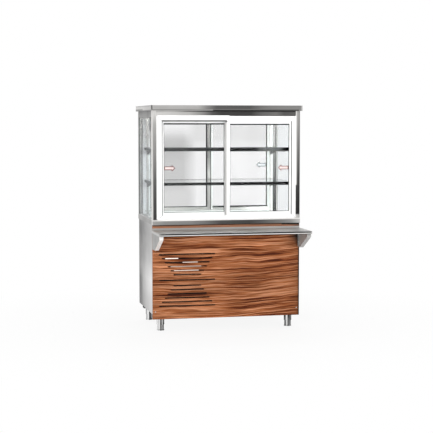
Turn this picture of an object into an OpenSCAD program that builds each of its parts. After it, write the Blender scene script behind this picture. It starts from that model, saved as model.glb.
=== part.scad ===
// Refrigerated self-service display counter: steel and wood base, glass case with sliding doors.
// Lengths are in millimetres. X runs to the viewer's right, Y to the back, Z up.

/* [Overall] */
// Width over the corner posts and the front panel
body_width = 1200; // [1080:10:1400]
// Depth over the corner posts
body_depth = 700; // [660:10:780]
// Height of the underside of the worktop above the floor
body_height = 846; // [811:5:901]
// Height of the top of the canopy above the floor
total_height = 1784; // [1760:1:1880]

/* [Worktop and canopy] */
// Height of the worktop edge
worktop_edge = 40; // [34:1:54]
// Radius of the rounded front and rear edge of the worktop
worktop_round = 11; // [6:1:12]
// Radius of the side edges of the worktop
worktop_side_round = 3; // [2.5:0.5:5]
// How far the worktop stands in front of and behind the posts
worktop_lap = 14; // [12:1:26]
// Height of the canopy band
canopy_band = 43; // [36:1:60]
// How far the canopy reaches past the posts at each side
canopy_side_lap = 10; // [6:1:20]
// How far the canopy reaches in front of the posts
canopy_front_lap = 36; // [30:1:60]
// How far the canopy reaches behind the posts
canopy_rear_lap = 60; // [30:1:80]
// Height of the steel fascia band below the canopy
fascia_height = 35.5; // [30:0.5:50]
// Height of the side rails below the canopy
side_rail_height = 51; // [45:1:65]
// Thickness of the folded steel of canopy and worktop
sheet = 1.5; // [1:0.5:2.5]

/* [Posts and glass] */
// Outer size of the square corner posts
post_size = 35; // [32:1:40]
// Wall of the post tube
post_wall = 2; // [1.5:0.5:3]
// Thickness of one side pane
side_pane = 4; // [3:0.5:5]
// Thickness of a double side glass unit
side_unit = 18; // [14:1:22]
// Thickness of the glass shelves
shelf_glass = 8; // [6:1:10]
// Height of the metal edging round a glass shelf
shelf_edge = 20; // [16:1:24]
// Height step from the deck to a shelf and on to the next
shelf_step = 268; // [250:0.5:272]
// Depth of the glass shelves from front to back
shelf_depth = 570; // [480:1:572]

/* [Sliding doors] */
// How far the door frames stand in front of the posts
frame_proud = 6; // [2:1:10]
// Mean visible face of the side members of a door frame
jamb_face = 36.5; // [34:0.5:44]
// Visible face of the top member of a door frame
head_face = 43; // [38:1:50]
// Shift of the door opening to the right of the middle
opening_shift = 5; // [0:1:6]
// Visible face of the sill member
sill_face = 31; // [28:1:40]
// Width of a door track groove
track_width = 19; // [18:0.5:20]
// Width of the rib between the two tracks
track_rib = 6; // [5:0.5:8]
// Outer wall of the frame members
frame_wall = 4; // [3:0.5:4.5]
// Depth of the side grooves that take the closed doors
side_groove = 18; // [14:1:22]
// Thickness of a door
door_thick = 17; // [15:0.5:17.5]
// Width of the door stiles
stile_width = 38; // [34:1:42]
// Height of the door rails
rail_height = 38; // [34:1:46]
// Half of the overlap of the two meeting stiles
door_overlap = 19; // [12:1:20]
// Thickness of the door pane
door_pane = 5; // [4:0.5:6]
// Radius of the door rollers
roller_radius = 9; // [7:0.5:10]

/* [Base] */
// Thickness of the wood front panel
wood_thick = 18; // [16:1:22]
// Height of the lower edge of the wood panel above the floor
wood_bottom = 98; // [90:1:100]
// Height of the lower edge of the steel side panels above the floor
steel_bottom = 135; // [130:1:150]
// Thickness of the folded steel of the base
base_sheet = 1.2; // [1:0.1:2]
// Number of vent slots in each half of the pattern, middle slot left out
slots_per_half = 6; // [3:1:6]
// Height of a vent slot
slot_height = 8; // [5:0.5:10]
// Length of the shortest vent slot
slot_short = 227; // [180:1:260]
// Growth in length from one slot to the next
slot_growth = 45.6; // [20:0.1:46]
// Height pitch of the vent slots
slot_pitch = 32.3; // [26:0.1:33]
// Height pitch on either side of the middle slot
slot_middle_pitch = 43.5; // [36:0.5:46]
// Distance of the longest vent slots from the left side of the body
slot_margin = 52.5; // [44:0.5:70]
// Height of the middle slot above the floor
slot_middle_height = 406; // [400:1:440]
// Distance of the leg centres from the side of the body
leg_inset_side = 76; // [70:1:110]
// Distance of the leg centres from the front and back of the body
leg_inset_front = 73; // [66:1:80]
// Outer radius of the upper leg sleeve
leg_radius = 31; // [28:0.5:34]
// Height of the lower edge of the leg sleeve above the floor
leg_step = 48; // [40:1:60]

/* [Tray slide] */
// How far the tray slide stands out from the front panel
slide_reach = 357; // [300:1:380]
// Height of the tray slide surface above the floor
slide_height = 805; // [780:1:805]
// Height of the folded lip of the tray slide
slide_lip = 20; // [16:1:30]
// Radius of the front corners of the tray slide
slide_corner = 25; // [10:1:40]
// How far the tray slide reaches past the body at each side
slide_side_lap = 5; // [2:1:9]
// Width of the folded flange of the brackets
bracket_flange = 32; // [20:1:40]
// Height of the bracket at the front panel
bracket_height = 147; // [120:1:170]

/* [Machine] */
// Radius of the condenser fan
fan_radius = 118; // [90:1:125]
// Number of condenser fan blades
fan_blades = 5; // [3:1:7]
// Radius of the compressor pot
pot_radius = 74; // [65:1:95]
// Wall of the insulated well
well_wall = 20; // [16:1:30]
// Depth of the insulated well below the deck
well_depth = 180; // [160:1:200]

/* [Fits] */
// Clearance between two fixed pieces that rest on each other
seat = 0.2; // [0.1:0.1:0.3]
// Clearance beside a fixed piece
side_gap = 0.5; // [0.3:0.1:0.6]
// Clearance between a moving door and its track or stop
run_gap = 0.5; // [0.4:0.1:0.8]
// Radial clearance of a turning shaft in its bore
shaft_gap = 0.05; // [0.03:0.01:0.09]

/* [Hidden] */
$fn = 48;

half_width = body_width / 2;
slot_long = slot_short + (slots_per_half - 1) * slot_growth;
slot_offset = half_width - slot_margin - slot_long / 2;
deck_z = body_height + worktop_edge;
canopy_z = total_height - canopy_band;
canopy_roof = total_height - sheet - seat;
// The whole is centred on its bounding box in Y: slide front to canopy back
mid_y = (body_depth + canopy_rear_lap - slide_reach) / 2;
steel = [0.72, 0.73, 0.74];
white = [0.95, 0.95, 0.94];
clear = [0.80, 0.88, 0.86, 0.35];
dark = [0.16, 0.16, 0.17];
copper = [0.72, 0.45, 0.30];
wood = [0.60, 0.36, 0.22];

fascia_z = canopy_z - fascia_height;
side_rail_z = canopy_z - side_rail_height;
frame_front = -frame_proud;
frame_depth = 2 * frame_wall + 2 * track_width + track_rib;
frame_back = frame_front + frame_depth;
frame_out = half_width - post_size - side_gap;
opening_half = frame_out - jamb_face;
frame_top = fascia_z - side_gap;
frame_in_top = frame_top - head_face;
frame_in_bottom = deck_z + sill_face;
sill_groove = 16;
head_groove = 22;
track_outer_y = frame_front + frame_wall + track_width / 2;
track_inner_y = track_outer_y + track_width + track_rib;
door_edge = opening_half + side_groove - run_gap;
door_width = door_edge + door_overlap;
door_z = frame_in_bottom - sill_groove + 2;
door_top = frame_in_top + 16;
pane_hold = 7;
pane_gap = 0.3;
roller_width = 7;
roller_z = frame_in_bottom - sill_groove + 0.3 + roller_radius;
axle_radius = 2;

panel_top = deck_z - sheet - seat;
wood_top = deck_z - worktop_round - seat;
wood_half = half_width - sheet - seat;
panel_out = half_width - 4;
panel_in = panel_out - base_sheet;
fold = 30;
well_out_x = half_width - 55.3;
well_front = 45.3;
well_back = body_depth - 45.3;
well_rim = deck_z - sheet - seat;
well_floor = deck_z - well_depth;
ceiling_z = fascia_z - 2.5;
ceiling_front = frame_back + side_gap;
upright_x = half_width - 72;
upright_w = 16;
upright_d = 12;
upright_back = body_depth - frame_back - side_gap;
upright_front = upright_back - upright_d;
arm_thick = 3;
arm_x = upright_x;
shelf_back = upright_front - 12;
shelf_front = shelf_back - shelf_depth;
shelf_half = half_width - post_size - 8;
rail_low = wood_bottom + 2;
rail_high = steel_bottom - seat;
rail_wall = 3;

// Condensing unit, left of the middle, behind the vent slots
unit_x0 = -slot_offset - 205;
unit_x1 = -slot_offset + 125;
unit_mid = (unit_x0 + unit_x1) / 2;
hood_front = wood_thick + 24;
floor_top = steel_bottom + 2 * base_sheet + seat;
unit_top = slot_middle_height + 216;
coil_top = slot_middle_height + 66;
fan_z = (floor_top + coil_top) / 2;
coil_front = hood_front + 6;
coil_depth = 44;
coil_margin = 16;
fin_margin = 2;
shroud_y = coil_front + coil_depth + 12;
shaft_radius = 5;
evap_fan_radius = 55;
evap_x0 = -330;
evap_x1 = 260;
evap_y0 = well_back - well_wall - 150;
evap_y1 = evap_y0 + 120;
evap_z0 = well_floor + well_wall + seat;
evap_z1 = evap_z0 + 118;

module place() {
    translate([0, -mid_y, 0])
        children();
}

module block(x0, x1, y0, y1, z0, z1) {
    translate([x0, y0, z0])
        cube([x1 - x0, y1 - y0, z1 - z0]);
}

// Square tube standing on Z
module tube_z(x0, x1, y0, y1, z0, z1, wall) {
    difference() {
        block(x0, x1, y0, y1, z0, z1);
        block(x0 + wall, x1 - wall, y0 + wall, y1 - wall, z0 - 1, z1 + 1);
    }
}

// Cylinder along Y
module rod_y(x, z, y0, y1, r) {
    translate([x, y0, z])
        rotate([-90, 0, 0])
            cylinder(r = r, h = y1 - y0);
}

// Cylinder along X
module rod_x(y, z, x0, x1, r) {
    translate([x0, y, z])
        rotate([0, 90, 0])
            cylinder(r = r, h = x1 - x0);
}

// Rounded slot cut through a plate that lies in XZ
module slot_y(x, z, length, height, y0, y1) {
    block(x - length / 2 + height / 2, x + length / 2 - height / 2, y0, y1, z - height / 2, z + height / 2);
    rod_y(x - length / 2 + height / 2, z, y0, y1, height / 2);
    rod_y(x + length / 2 - height / 2, z, y0, y1, height / 2);
}

// Legs: upper sleeve on the leg rail, foot inside it
module leg(sx, y) {
    x = sx * (half_width - leg_inset_side);
    foot_radius = leg_radius - 4;
    color(steel) {
        difference() {
            translate([x, y, leg_step])
                cylinder(r = leg_radius, h = rail_low - seat - leg_step);
            translate([x, y, leg_step - 1])
                cylinder(r = foot_radius + shaft_gap, h = rail_low - seat - leg_step - 3);
        }
        translate([x, y, 0])
            rotate_extrude()
                polygon([[0, 0], [foot_radius + 1, 0], [foot_radius + 3, 2], [foot_radius + 3, 6],
                    [foot_radius, 9], [foot_radius, leg_step + 16], [0, leg_step + 16]]);
    }
}

module leg_front_left() {
    leg(-1, leg_inset_front);
}

module leg_front_right() {
    leg(1, leg_inset_front);
}

module leg_rear_left() {
    leg(-1, body_depth - leg_inset_front);
}

module leg_rear_right() {
    leg(1, body_depth - leg_inset_front);
}

// Square steel rails that carry the legs
module leg_rails() {
    color(dark) {
        difference() {
            block(-panel_in, panel_in, wood_thick + side_gap, leg_inset_front + 35, rail_low, rail_high);
            block(-panel_in + rail_wall, panel_in - rail_wall, wood_thick + side_gap + rail_wall,
                leg_inset_front + 35 - rail_wall, rail_low + rail_wall, rail_high - rail_wall);
            rod_y(0, (rail_low + rail_high) / 2, leg_inset_front, leg_inset_front + 36, 6);
        }
        difference() {
            block(-half_width + 26, half_width - 26, body_depth - leg_inset_front - 35,
                body_depth - leg_inset_front + 35, rail_low, rail_high);
            block(-half_width + 25, half_width - 25, body_depth - leg_inset_front - 35 + rail_wall,
                body_depth - leg_inset_front + 35 - rail_wall, rail_low + rail_wall, rail_high - rail_wall);
        }
    }
}

// Folded side panel: plate with four inward folds
module side_panel(sx) {
    y0 = wood_thick + seat;
    y1 = body_depth - base_sheet - seat;
    color(steel)
        scale([sx, 1, 1])
            difference() {
                block(panel_out - fold, panel_out, y0, y1, steel_bottom, panel_top);
                block(panel_out - fold - 1, panel_in, y0 + base_sheet, y1 - base_sheet,
                    steel_bottom + base_sheet, panel_top - base_sheet);
            }
}

module side_panel_left() {
    mirror([1, 0, 0])
        side_panel(1);
}

module side_panel_right() {
    side_panel(1);
}

module base_floor() {
    color(steel)
        block(-panel_in + seat, panel_in - seat, wood_thick + base_sheet + 2 * seat,
            body_depth - 2 * base_sheet - 2 * seat, steel_bottom + base_sheet + seat, floor_top);
}

// Wood panel with the hourglass pattern of vent slots
module front_panel() {
    color(wood)
        difference() {
            block(-wood_half, wood_half, 0, wood_thick, wood_bottom, wood_top);
            slot_y(-slot_offset, slot_middle_height, slot_long, slot_height, -1, wood_thick + 1);
            for (i = [0 : slots_per_half - 1], s = [-1, 1])
                slot_y(-slot_offset, slot_middle_height + s * (slot_middle_pitch + i * slot_pitch),
                    slot_short + i * slot_growth, slot_height, -1, wood_thick + 1);
            for (s = [-1, 1])
                rod_y(s * (half_width - 23), wood_bottom + 60, -1, wood_thick + 1, 2.5);
            for (s = [-1, 1], z = [35, 95])
                rod_y(s * bracket_screw_x, bracket_low + z, -1, wood_thick + 1, 2.5);
        }
}

module screw(x, z, y_head) {
    translate([x, y_head, z])
        rotate([90, 0, 0])
            rotate_extrude()
                polygon([[0, 0], [5, 0], [4.2, 1.6], [1.2, 2.4], [0, 2.4]]);
    rod_y(x, z, y_head, y_head + 15, 2.4);
}

module screws() {
    color(steel) {
        for (s = [-1, 1])
            screw(s * (half_width - 23), wood_bottom + 60, -seat);
        for (s = [-1, 1], z = [35, 95])
            screw(s * bracket_screw_x, bracket_low + z, bracket_back - bracket_sheet - seat);
    }
}

grille_x0 = -slot_offset - 220;
grille_x1 = -slot_offset + 160;
grille_z0 = floor_top + 50;
grille_height = 360;
grille_z1 = grille_z0 + grille_height;
grille_margin = 30;
gland_x = half_width - 120;
gland_z = floor_top + 45;
gland_radius = 8;
gland_gap = 0.3;
control_margin = 91;
control_width = 178;
control_gap = 1;

module back_panel() {
    color(steel)
        difference() {
            block(-panel_out, panel_out, body_depth - base_sheet, body_depth, steel_bottom, panel_top);
            block(grille_x0 + 12, grille_x1 - 12, body_depth - base_sheet - 1, body_depth + 1,
                grille_z0 + 12, grille_z1 - 12);
            rod_y(gland_x, gland_z, body_depth - base_sheet - 1, body_depth + 1, gland_radius + gland_gap);
            block(box_x0 - control_gap, box_x1 + control_gap, body_depth - base_sheet - 1, body_depth + 1,
                box_z0 - control_gap, box_z1 + control_gap);
        }
}

// Slotted cover over the machine at the back
module rear_grille() {
    rows = 13;
    pitch = (grille_z1 - grille_z0 - 2 * grille_margin) / (rows - 1);
    color(steel)
        difference() {
            block(grille_x0, grille_x1, body_depth + seat, body_depth + seat + base_sheet, grille_z0,
                grille_z1);
            for (i = [0 : rows - 1])
                slot_y((grille_x0 + grille_x1) / 2, grille_z0 + 30 + i * pitch,
                    grille_x1 - grille_x0 - 60, 12,
                    body_depth, body_depth + base_sheet + 1);
        }
}

// Folded worktop with rounded upper edges and the opening of the cold well
module worktop() {
    x1 = half_width;
    y0 = -worktop_lap;
    y1 = body_depth + worktop_lap;
    r = worktop_round;
    q = worktop_side_round;
    color(steel)
        difference() {
            intersection() {
                union() {
                    block(-x1, x1, y0 + r, y1 - r, body_height, deck_z);
                    block(-x1, x1, y0, y1, body_height, deck_z - r);
                    rod_x(y0 + r, deck_z - r, -x1, x1, r);
                    rod_x(y1 - r, deck_z - r, -x1, x1, r);
                }
                union() {
                    block(-x1 + q, x1 - q, y0, y1, body_height, deck_z);
                    block(-x1, x1, y0, y1, body_height, deck_z - q);
                    rod_y(-x1 + q, deck_z - q, y0, y1, q);
                    rod_y(x1 - q, deck_z - q, y0, y1, q);
                }
            }
            block(-x1 + sheet, x1 - sheet, y0 + sheet, y1 - sheet, body_height - 1, deck_z - r);
            block(-x1 + q, x1 - q, y0 + r, y1 - r, body_height - 1, deck_z - sheet);
            block(-well_out_x - side_gap, well_out_x + side_gap, well_front - side_gap,
                well_back + side_gap,
                deck_z - sheet - 1, deck_z + 1);
        }
}

// Insulated well with a rim that hangs under the worktop sheet
module cold_well() {
    color(steel)
        difference() {
            union() {
                block(-well_out_x, well_out_x, well_front, well_back, well_floor, well_rim);
                block(-well_out_x - 14, well_out_x + 14, well_front - 12, well_back + 12, well_rim - 4,
                    well_rim);
            }
            block(-well_out_x + well_wall, well_out_x - well_wall, well_front + well_wall,
                well_back - well_wall,
                well_floor + well_wall, well_rim + 1);
            translate([pipe_x, pipe_y, well_floor - 1])
                cylinder(r = 7, h = well_wall + 2);
            translate([drain_x, drain_y, well_floor - 1])
                cylinder(r = 12.3, h = well_wall + 2);
        }
}

drain_x = 420;
drain_y = body_depth / 2;
pipe_x = -slot_offset + 60;
pipe_y = body_depth / 2 + 110;

// Display deck with air slots along front and back
module deck_plate() {
    count = 12;
    pitch = (2 * well_out_x - 120) / count;
    color(steel)
        difference() {
            block(-well_out_x, well_out_x, well_front, well_back, deck_z - sheet, deck_z - seat);
            for (i = [0 : count - 1], y = [well_front + 40, well_back - 40])
                translate([-well_out_x + 60 + (i + 0.5) * pitch, y, deck_z - sheet - 1]) {
                    translate([-25, -3, 0])
                        cube([50, 6, 4]);
                    translate([-25, 0, 0])
                        cylinder(r = 3, h = 4);
                    translate([25, 0, 0])
                        cylinder(r = 3, h = 4);
                }
        }
}

slide_half = half_width + slide_side_lap;
slide_sheet = 1.5;
slide_upstand = 15;

// Plan of the tray slide, front corners rounded
module slide_plan(grow, z0, z1) {
    r = slide_corner - grow;
    translate([0, 0, z0])
        linear_extrude(height = z1 - z0) {
            translate([-slide_half + grow, -slide_reach + slide_corner])
                square([2 * (slide_half - grow), slide_reach - slide_corner - seat]);
            translate([-slide_half + slide_corner, -slide_reach + grow])
                square([2 * (slide_half - slide_corner), slide_corner]);
            for (s = [-1, 1])
                translate([s * (slide_half - slide_corner), -slide_reach + slide_corner])
                    circle(r = r);
        }
}

// Folded plate with a strip that stands up against the wood panel
module tray_slide() {
    color(steel) {
        difference() {
            slide_plan(0, slide_height - slide_lip, slide_height);
            slide_plan(slide_sheet, slide_height - slide_lip - 1, slide_height - slide_sheet);
        }
        block(-half_width + 1, half_width - 1, -seat - slide_sheet, -seat,
            slide_height + seat / 2, slide_height + slide_upstand);
    }
}

bracket_sheet = 3;
bracket_out = half_width;
bracket_top = slide_height - slide_sheet - seat;
bracket_low = bracket_top - bracket_height;
bracket_front = -slide_reach + 32;
bracket_nose = bracket_top - 46;
bracket_knee = -110;
bracket_back = -seat;
bracket_wall = 14;
bracket_screw_x = bracket_out - 8.5;
gusset_run = bracket_knee - bracket_front;
gusset_drop = bracket_low - bracket_nose;
gusset_slope = sqrt(gusset_run * gusset_run + gusset_drop * gusset_drop);
fold_y = bracket_front - bracket_sheet * gusset_drop / gusset_slope;
fold_z = bracket_nose + bracket_sheet * gusset_run / gusset_slope;
fold_nose = fold_z + (bracket_front + bracket_sheet - fold_y) * gusset_drop / gusset_run;
fold_knee = fold_y + (bracket_low + bracket_sheet - fold_z) * gusset_run / gusset_drop;

// Turns a drawing in Y and Z into a plate between two X values
module plate_yz(x0, x1) {
    translate([x0, 0, 0])
        rotate([90, 0, 90])
            linear_extrude(height = x1 - x0)
                children();
}

// Gusset bracket: side plate, foot on the panel, inward fold along the front and lower edges
module tray_bracket() {
    x_in = bracket_out - bracket_flange;
    difference() {
        plate_yz(x_in, bracket_out)
            polygon([[bracket_back, bracket_top], [bracket_front, bracket_top], [bracket_front,
                bracket_nose],
                [bracket_knee, bracket_low], [bracket_back, bracket_low]]);
        plate_yz(x_in - 1, bracket_out - bracket_sheet)
            polygon([[bracket_back - bracket_sheet, bracket_top + 1],
                [bracket_front + bracket_sheet, bracket_top + 1],
                [bracket_front + bracket_sheet, fold_nose],
                [fold_knee, bracket_low + bracket_sheet],
                [bracket_back - bracket_sheet, bracket_low + bracket_sheet]]);
        block(x_in - 1, bracket_out - bracket_wall, bracket_knee + bracket_sheet, bracket_back + 1,
            bracket_low - 1, bracket_top + 1);
        for (z = [35, 95])
            rod_y(bracket_screw_x, bracket_low + z, -20, 1, 2.6);
    }
}

module tray_bracket_right() {
    color(steel)
        tray_bracket();
}

module tray_bracket_left() {
    color(steel)
        mirror([1, 0, 0])
            tray_bracket();
}

compressor_y = body_depth / 2 + 10;
compressor_z = floor_top + seat;
stub_top = compressor_z + 199;
stub_offset = 30;

// Compressor: round pot on rubber feet, terminal box, two pipe stubs
module compressor() {
    color(dark) {
        translate([unit_mid, compressor_y, compressor_z + 22])
            rotate_extrude()
                polygon([[0, 0], [pot_radius - 20, 0], [pot_radius, 18], [pot_radius, 120],
                    [pot_radius - 12, 148], [pot_radius - 40, 160], [0, 164]]);
        for (sx = [-1, 1], sy = [-1, 1])
            translate([unit_mid + sx * 78, compressor_y + sy * 60, compressor_z])
                cylinder(r = 13, h = 18);
        block(unit_mid - 98, unit_mid + 98, compressor_y - 76, compressor_y + 76,
            compressor_z + 18, compressor_z + 22);
        for (sx = [-1, 1])
            translate([unit_mid + sx * stub_offset, compressor_y, compressor_z + 175])
                cylinder(r = 7, h = stub_top - compressor_z - 175);
        block(unit_mid + pot_radius - 8, unit_mid + pot_radius + 34, compressor_y - 30, compressor_y + 30,
            compressor_z + 60, compressor_z + 130);
    }
}

// Return bend of the coil: half ring in XZ that opens towards the coil
module coil_bend(s, z) {
    translate([unit_mid, coil_front + coil_depth / 2, z])
        mirror([s < 0 ? 1 : 0, 0, 0])
            translate([(unit_x1 - unit_x0) / 2 - coil_margin, 0, 0])
                rotate([0, -90, -90])
                    rotate_extrude(angle = 180)
                        translate([12, 0])
                            circle(r = 4);
}

// Finned condenser block with return bends
module condenser_coil() {
    fins = 28;
    fin_x0 = unit_x0 + coil_margin + fin_margin;
    pitch = (unit_x1 - unit_x0 - 2 * coil_margin - 2 * fin_margin) / fins;
    color(steel)
        difference() {
            block(unit_x0 + coil_margin, unit_x1 - coil_margin, coil_front, coil_front + coil_depth,
                floor_top + seat, coil_top);
            for (i = [0 : fins - 1])
                block(fin_x0 + (i + 0.25) * pitch, fin_x0 + (i + 0.8) * pitch,
                    coil_front - 1, coil_front + coil_depth - 8, floor_top + 20, coil_top - 12);
        }
    color(copper)
        for (i = [0 : 5], s = [-1, 1])
            coil_bend(s, floor_top + 48 + i * 50);
}

// Bright sheet above the coil, folded back at the top and bottom
module coil_hood() {
    back = coil_front + coil_depth;
    color(steel) {
        block(unit_x0, unit_x1, hood_front, hood_front + base_sheet, coil_top + seat, unit_top);
        block(unit_x0, unit_x1, hood_front, back, coil_top + seat, coil_top + seat + base_sheet);
        block(unit_x0, unit_x1, hood_front, back, unit_top - base_sheet, unit_top);
    }
}

// Fan plate with its hole, motor and strap; the air runs along Y
module fan_mount(size_x, size_z, hole, hub_length, motor_r, motor_length) {
    motor_y = hub_length + 14;
    strap_y = motor_y + motor_length * 0.6;
    difference() {
        block(-size_x / 2, size_x / 2, 0, 2, -size_z / 2, size_z / 2);
        rod_y(0, 0, -1, 3, hole);
    }
    rod_y(0, 0, motor_y, motor_y + motor_length, motor_r);
    rod_y(0, 0, 14, motor_y + 1, shaft_radius);
    block(-hole - 12, hole + 12, strap_y - 3, strap_y, -12, 12);
    for (s = [-1, 1])
        block(s * (hole + 10) - 2, s * (hole + 10) + 2, 1, strap_y, -12, 12);
}

// Fan wheel on the motor shaft
module fan_wheel(radius, hub_r, hub_length, count, chord) {
    difference() {
        union() {
            rod_y(0, 0, 10, 10 + hub_length, hub_r);
            intersection() {
                for (i = [0 : count - 1])
                    rotate([0, i * 360 / count, 0])
                        translate([hub_r - 2, 10 + hub_length / 2, 0])
                            rotate([28, 0, 0])
                                translate([0, -1, -chord / 2])
                                    cube([radius, 2, chord]);
                rod_y(0, 0, 8, 14 + hub_length, radius);
            }
        }
        rod_y(0, 0, 13, 11 + hub_length, shaft_radius + shaft_gap);
    }
}

fan_hole = fan_radius + 4;

module fan_shroud() {
    half_x = (unit_x1 - unit_x0) / 2 - 16;
    half_z = (coil_top - floor_top) / 2 - seat;
    color(dark) {
        translate([unit_mid, shroud_y, fan_z])
            fan_mount(2 * half_x, 2 * half_z, fan_hole, 34, 36, 60);
        difference() {
            block(unit_mid - half_x, unit_mid + half_x, coil_front + coil_depth + seat, shroud_y,
                fan_z - half_z, fan_z + half_z);
            block(unit_mid - half_x + 3, unit_mid + half_x - 3, coil_front + coil_depth, shroud_y + 1,
                fan_z - half_z + 3, fan_z + half_z - 3);
        }
    }
}

module condenser_fan() {
    color(steel)
        translate([unit_mid, shroud_y, fan_z])
            fan_wheel(fan_radius, 26, 34, fan_blades, 54);
}

pipe_radius = 5;
pipe_rise = 200;
pipe_step = 40;
pipe_entry = 273;

module elbow(x, y, z) {
    translate([x, y, z])
        sphere(r = pipe_radius);
}

// Copper pipes: pot to coil, and pot to evaporator
module copper_pipe() {
    x_a = unit_mid - stub_offset;
    x_b = unit_mid + stub_offset;
    x_c = unit_x1 + 15;
    z_a = stub_top + pipe_rise;
    z_b = z_a + pipe_step;
    y_c = coil_front + coil_depth / 2;
    z_c = floor_top + pipe_entry;
    z_d = evap_z0 + 50;
    color(copper) {
        translate([x_a, compressor_y, stub_top + seat])
            cylinder(r = pipe_radius, h = z_a - stub_top - seat);
        elbow(x_a, compressor_y, z_a);
        rod_x(compressor_y, z_a, x_a, x_c, pipe_radius);
        elbow(x_c, compressor_y, z_a);
        rod_y(x_c, z_a, y_c, compressor_y, pipe_radius);
        elbow(x_c, y_c, z_a);
        translate([x_c, y_c, z_c])
            cylinder(r = pipe_radius, h = z_a - z_c);
        elbow(x_c, y_c, z_c);
        rod_x(y_c, z_c, unit_x1 - coil_margin + seat, x_c, pipe_radius);
        translate([x_b, compressor_y, stub_top + seat])
            cylinder(r = pipe_radius, h = z_b - stub_top - seat);
        elbow(x_b, compressor_y, z_b);
        rod_x(compressor_y, z_b, x_b, pipe_x, pipe_radius);
        elbow(pipe_x, compressor_y, z_b);
        rod_y(pipe_x, z_b, compressor_y, pipe_y, pipe_radius);
        elbow(pipe_x, pipe_y, z_b);
        translate([pipe_x, pipe_y, z_b])
            cylinder(r = pipe_radius, h = z_d - z_b);
        elbow(pipe_x, pipe_y, z_d);
        rod_y(pipe_x, z_d, pipe_y, evap_y0 - seat, pipe_radius);
    }
}

evap_fan_x = (evap_x0 + evap_x1) / 2;
evap_fan_z = (evap_z0 + evap_z1) / 2;

// Finned evaporator on the floor of the well, with its fan plate and motor
module evaporator() {
    fins = 26;
    pitch = (evap_x1 - evap_x0 - 20) / fins;
    color(steel) {
        difference() {
            block(evap_x0, evap_x1, evap_y0, evap_y1, evap_z0, evap_z1);
            for (i = [0 : fins - 1])
                block(evap_x0 + 10 + (i + 0.2) * pitch, evap_x0 + 10 + (i + 0.85) * pitch,
                    evap_y0 + 6, evap_y1 - 6, evap_z0 + 8, evap_z1 + 1);
        }
        translate([evap_fan_x, evap_y0 - seat, evap_fan_z])
            mirror([0, 1, 0])
                fan_mount(150, evap_z1 - evap_z0, evap_fan_radius + 2, 20, 20, 30);
    }
}

module evaporator_fan() {
    color(dark)
        translate([evap_fan_x, evap_y0 - seat, evap_fan_z])
            mirror([0, 1, 0])
                fan_wheel(evap_fan_radius, 16, 20, 4, 30);
}

box_x1 = half_width - control_margin;
box_x0 = box_x1 - control_width;
box_z0 = body_height - 91;
box_z1 = body_height - 39;
box_front = well_back + 12.5;
rocker_x = box_x0 + 30;
rocker_z = (box_z0 + box_z1) / 2;
rocker_y = body_depth + 1;
rocker_half = 10;
rocker_pin = 2;

// Control box in the back panel: bezel, dark window and the pocket of the rocker
module control_box() {
    color(dark) {
        difference() {
            union() {
                block(box_x0, box_x1, box_front, body_depth + seat, box_z0, box_z1);
                block(box_x0 - 9, box_x1 + 9, body_depth + seat, body_depth + 4, box_z0 - 9, box_z1 + 9);
            }
            block(rocker_x - rocker_half - side_gap, rocker_x + rocker_half + side_gap, body_depth - 14,
                body_depth + 5, rocker_z - 17, rocker_z + 17);
            rod_x(rocker_y, rocker_z, rocker_x - rocker_half - 4, rocker_x + rocker_half + 4,
                rocker_pin + shaft_gap);
            block(rocker_x + 40, box_x1 - 12, body_depth + 2, body_depth + 5, rocker_z - 16, rocker_z + 16);
        }
        block(rocker_x + 40 + seat, box_x1 - 12 - seat, body_depth + 2 + seat, body_depth + 3.5,
            rocker_z - 16 + seat, rocker_z + 16 - seat);
    }
}

// Rocker switch on a cross pin, drawn in the off position
module power_switch() {
    color([0.7, 0.1, 0.1])
        translate([0, rocker_y, rocker_z])
            rotate([-7, 0, 0]) {
                block(rocker_x - rocker_half, rocker_x + rocker_half, -5, 4, -14, 14);
                rod_x(0, 0, rocker_x - rocker_half - 3, rocker_x + rocker_half + 3, rocker_pin);
            }
}

// Drain spout under the well and the gland where the supply enters
module service_fittings() {
    color(dark) {
        difference() {
            union() {
                translate([drain_x, drain_y, well_floor - 60])
                    cylinder(r = 12, h = well_wall + 60 + seat);
                translate([drain_x, drain_y, well_floor + well_wall + seat])
                    cylinder(r = 18, h = 3);
            }
            translate([drain_x, drain_y, well_floor - 61])
                cylinder(r = 9, h = well_wall + 70);
        }
        translate([gland_x, body_depth + seat, gland_z])
            rotate([-90, 0, 0])
                cylinder(r = 14, h = 7, $fn = 6);
        rod_y(gland_x, gland_z, body_depth - 16, body_depth + 16, gland_radius);
        translate([gland_x, body_depth - 9, gland_z])
            rotate([-90, 0, 0])
                cylinder(r = 14, h = 6, $fn = 6);
    }
}

// Square corner post between worktop and canopy
module post(sx, front) {
    x0 = sx < 0 ? -half_width : half_width - post_size;
    y0 = front ? 0 : body_depth - post_size;
    color(steel)
        tube_z(x0, x0 + post_size, y0, y0 + post_size, deck_z + seat, canopy_roof, post_wall);
}

module post_front_left() {
    post(-1, true);
}

module post_front_right() {
    post(1, true);
}

module post_rear_left() {
    post(-1, false);
}

module post_rear_right() {
    post(1, false);
}

// Folded canopy: flat band with a soffit round the case and welded corner seams
module top_canopy() {
    x1 = half_width + canopy_side_lap;
    y0 = -canopy_front_lap;
    y1 = body_depth + canopy_rear_lap;
    color(steel)
        difference() {
            block(-x1, x1, y0, y1, canopy_z, total_height);
            block(-x1 + sheet, x1 - sheet, y0 + sheet, y1 - sheet, canopy_z + sheet, total_height - sheet);
            block(-half_width - side_gap, half_width + side_gap, -side_gap, body_depth + side_gap,
                canopy_z - 1, canopy_z + sheet + 1);
            for (s = [-1, 1], y = [y0, y1])
                block(s * (x1 - 3) - 0.6, s * (x1 - 3) + 0.6, y - 1, y + 1, canopy_z - 1,
                    total_height - 1.5);
        }
}

ceiling_half = half_width - post_size - side_gap;

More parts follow.
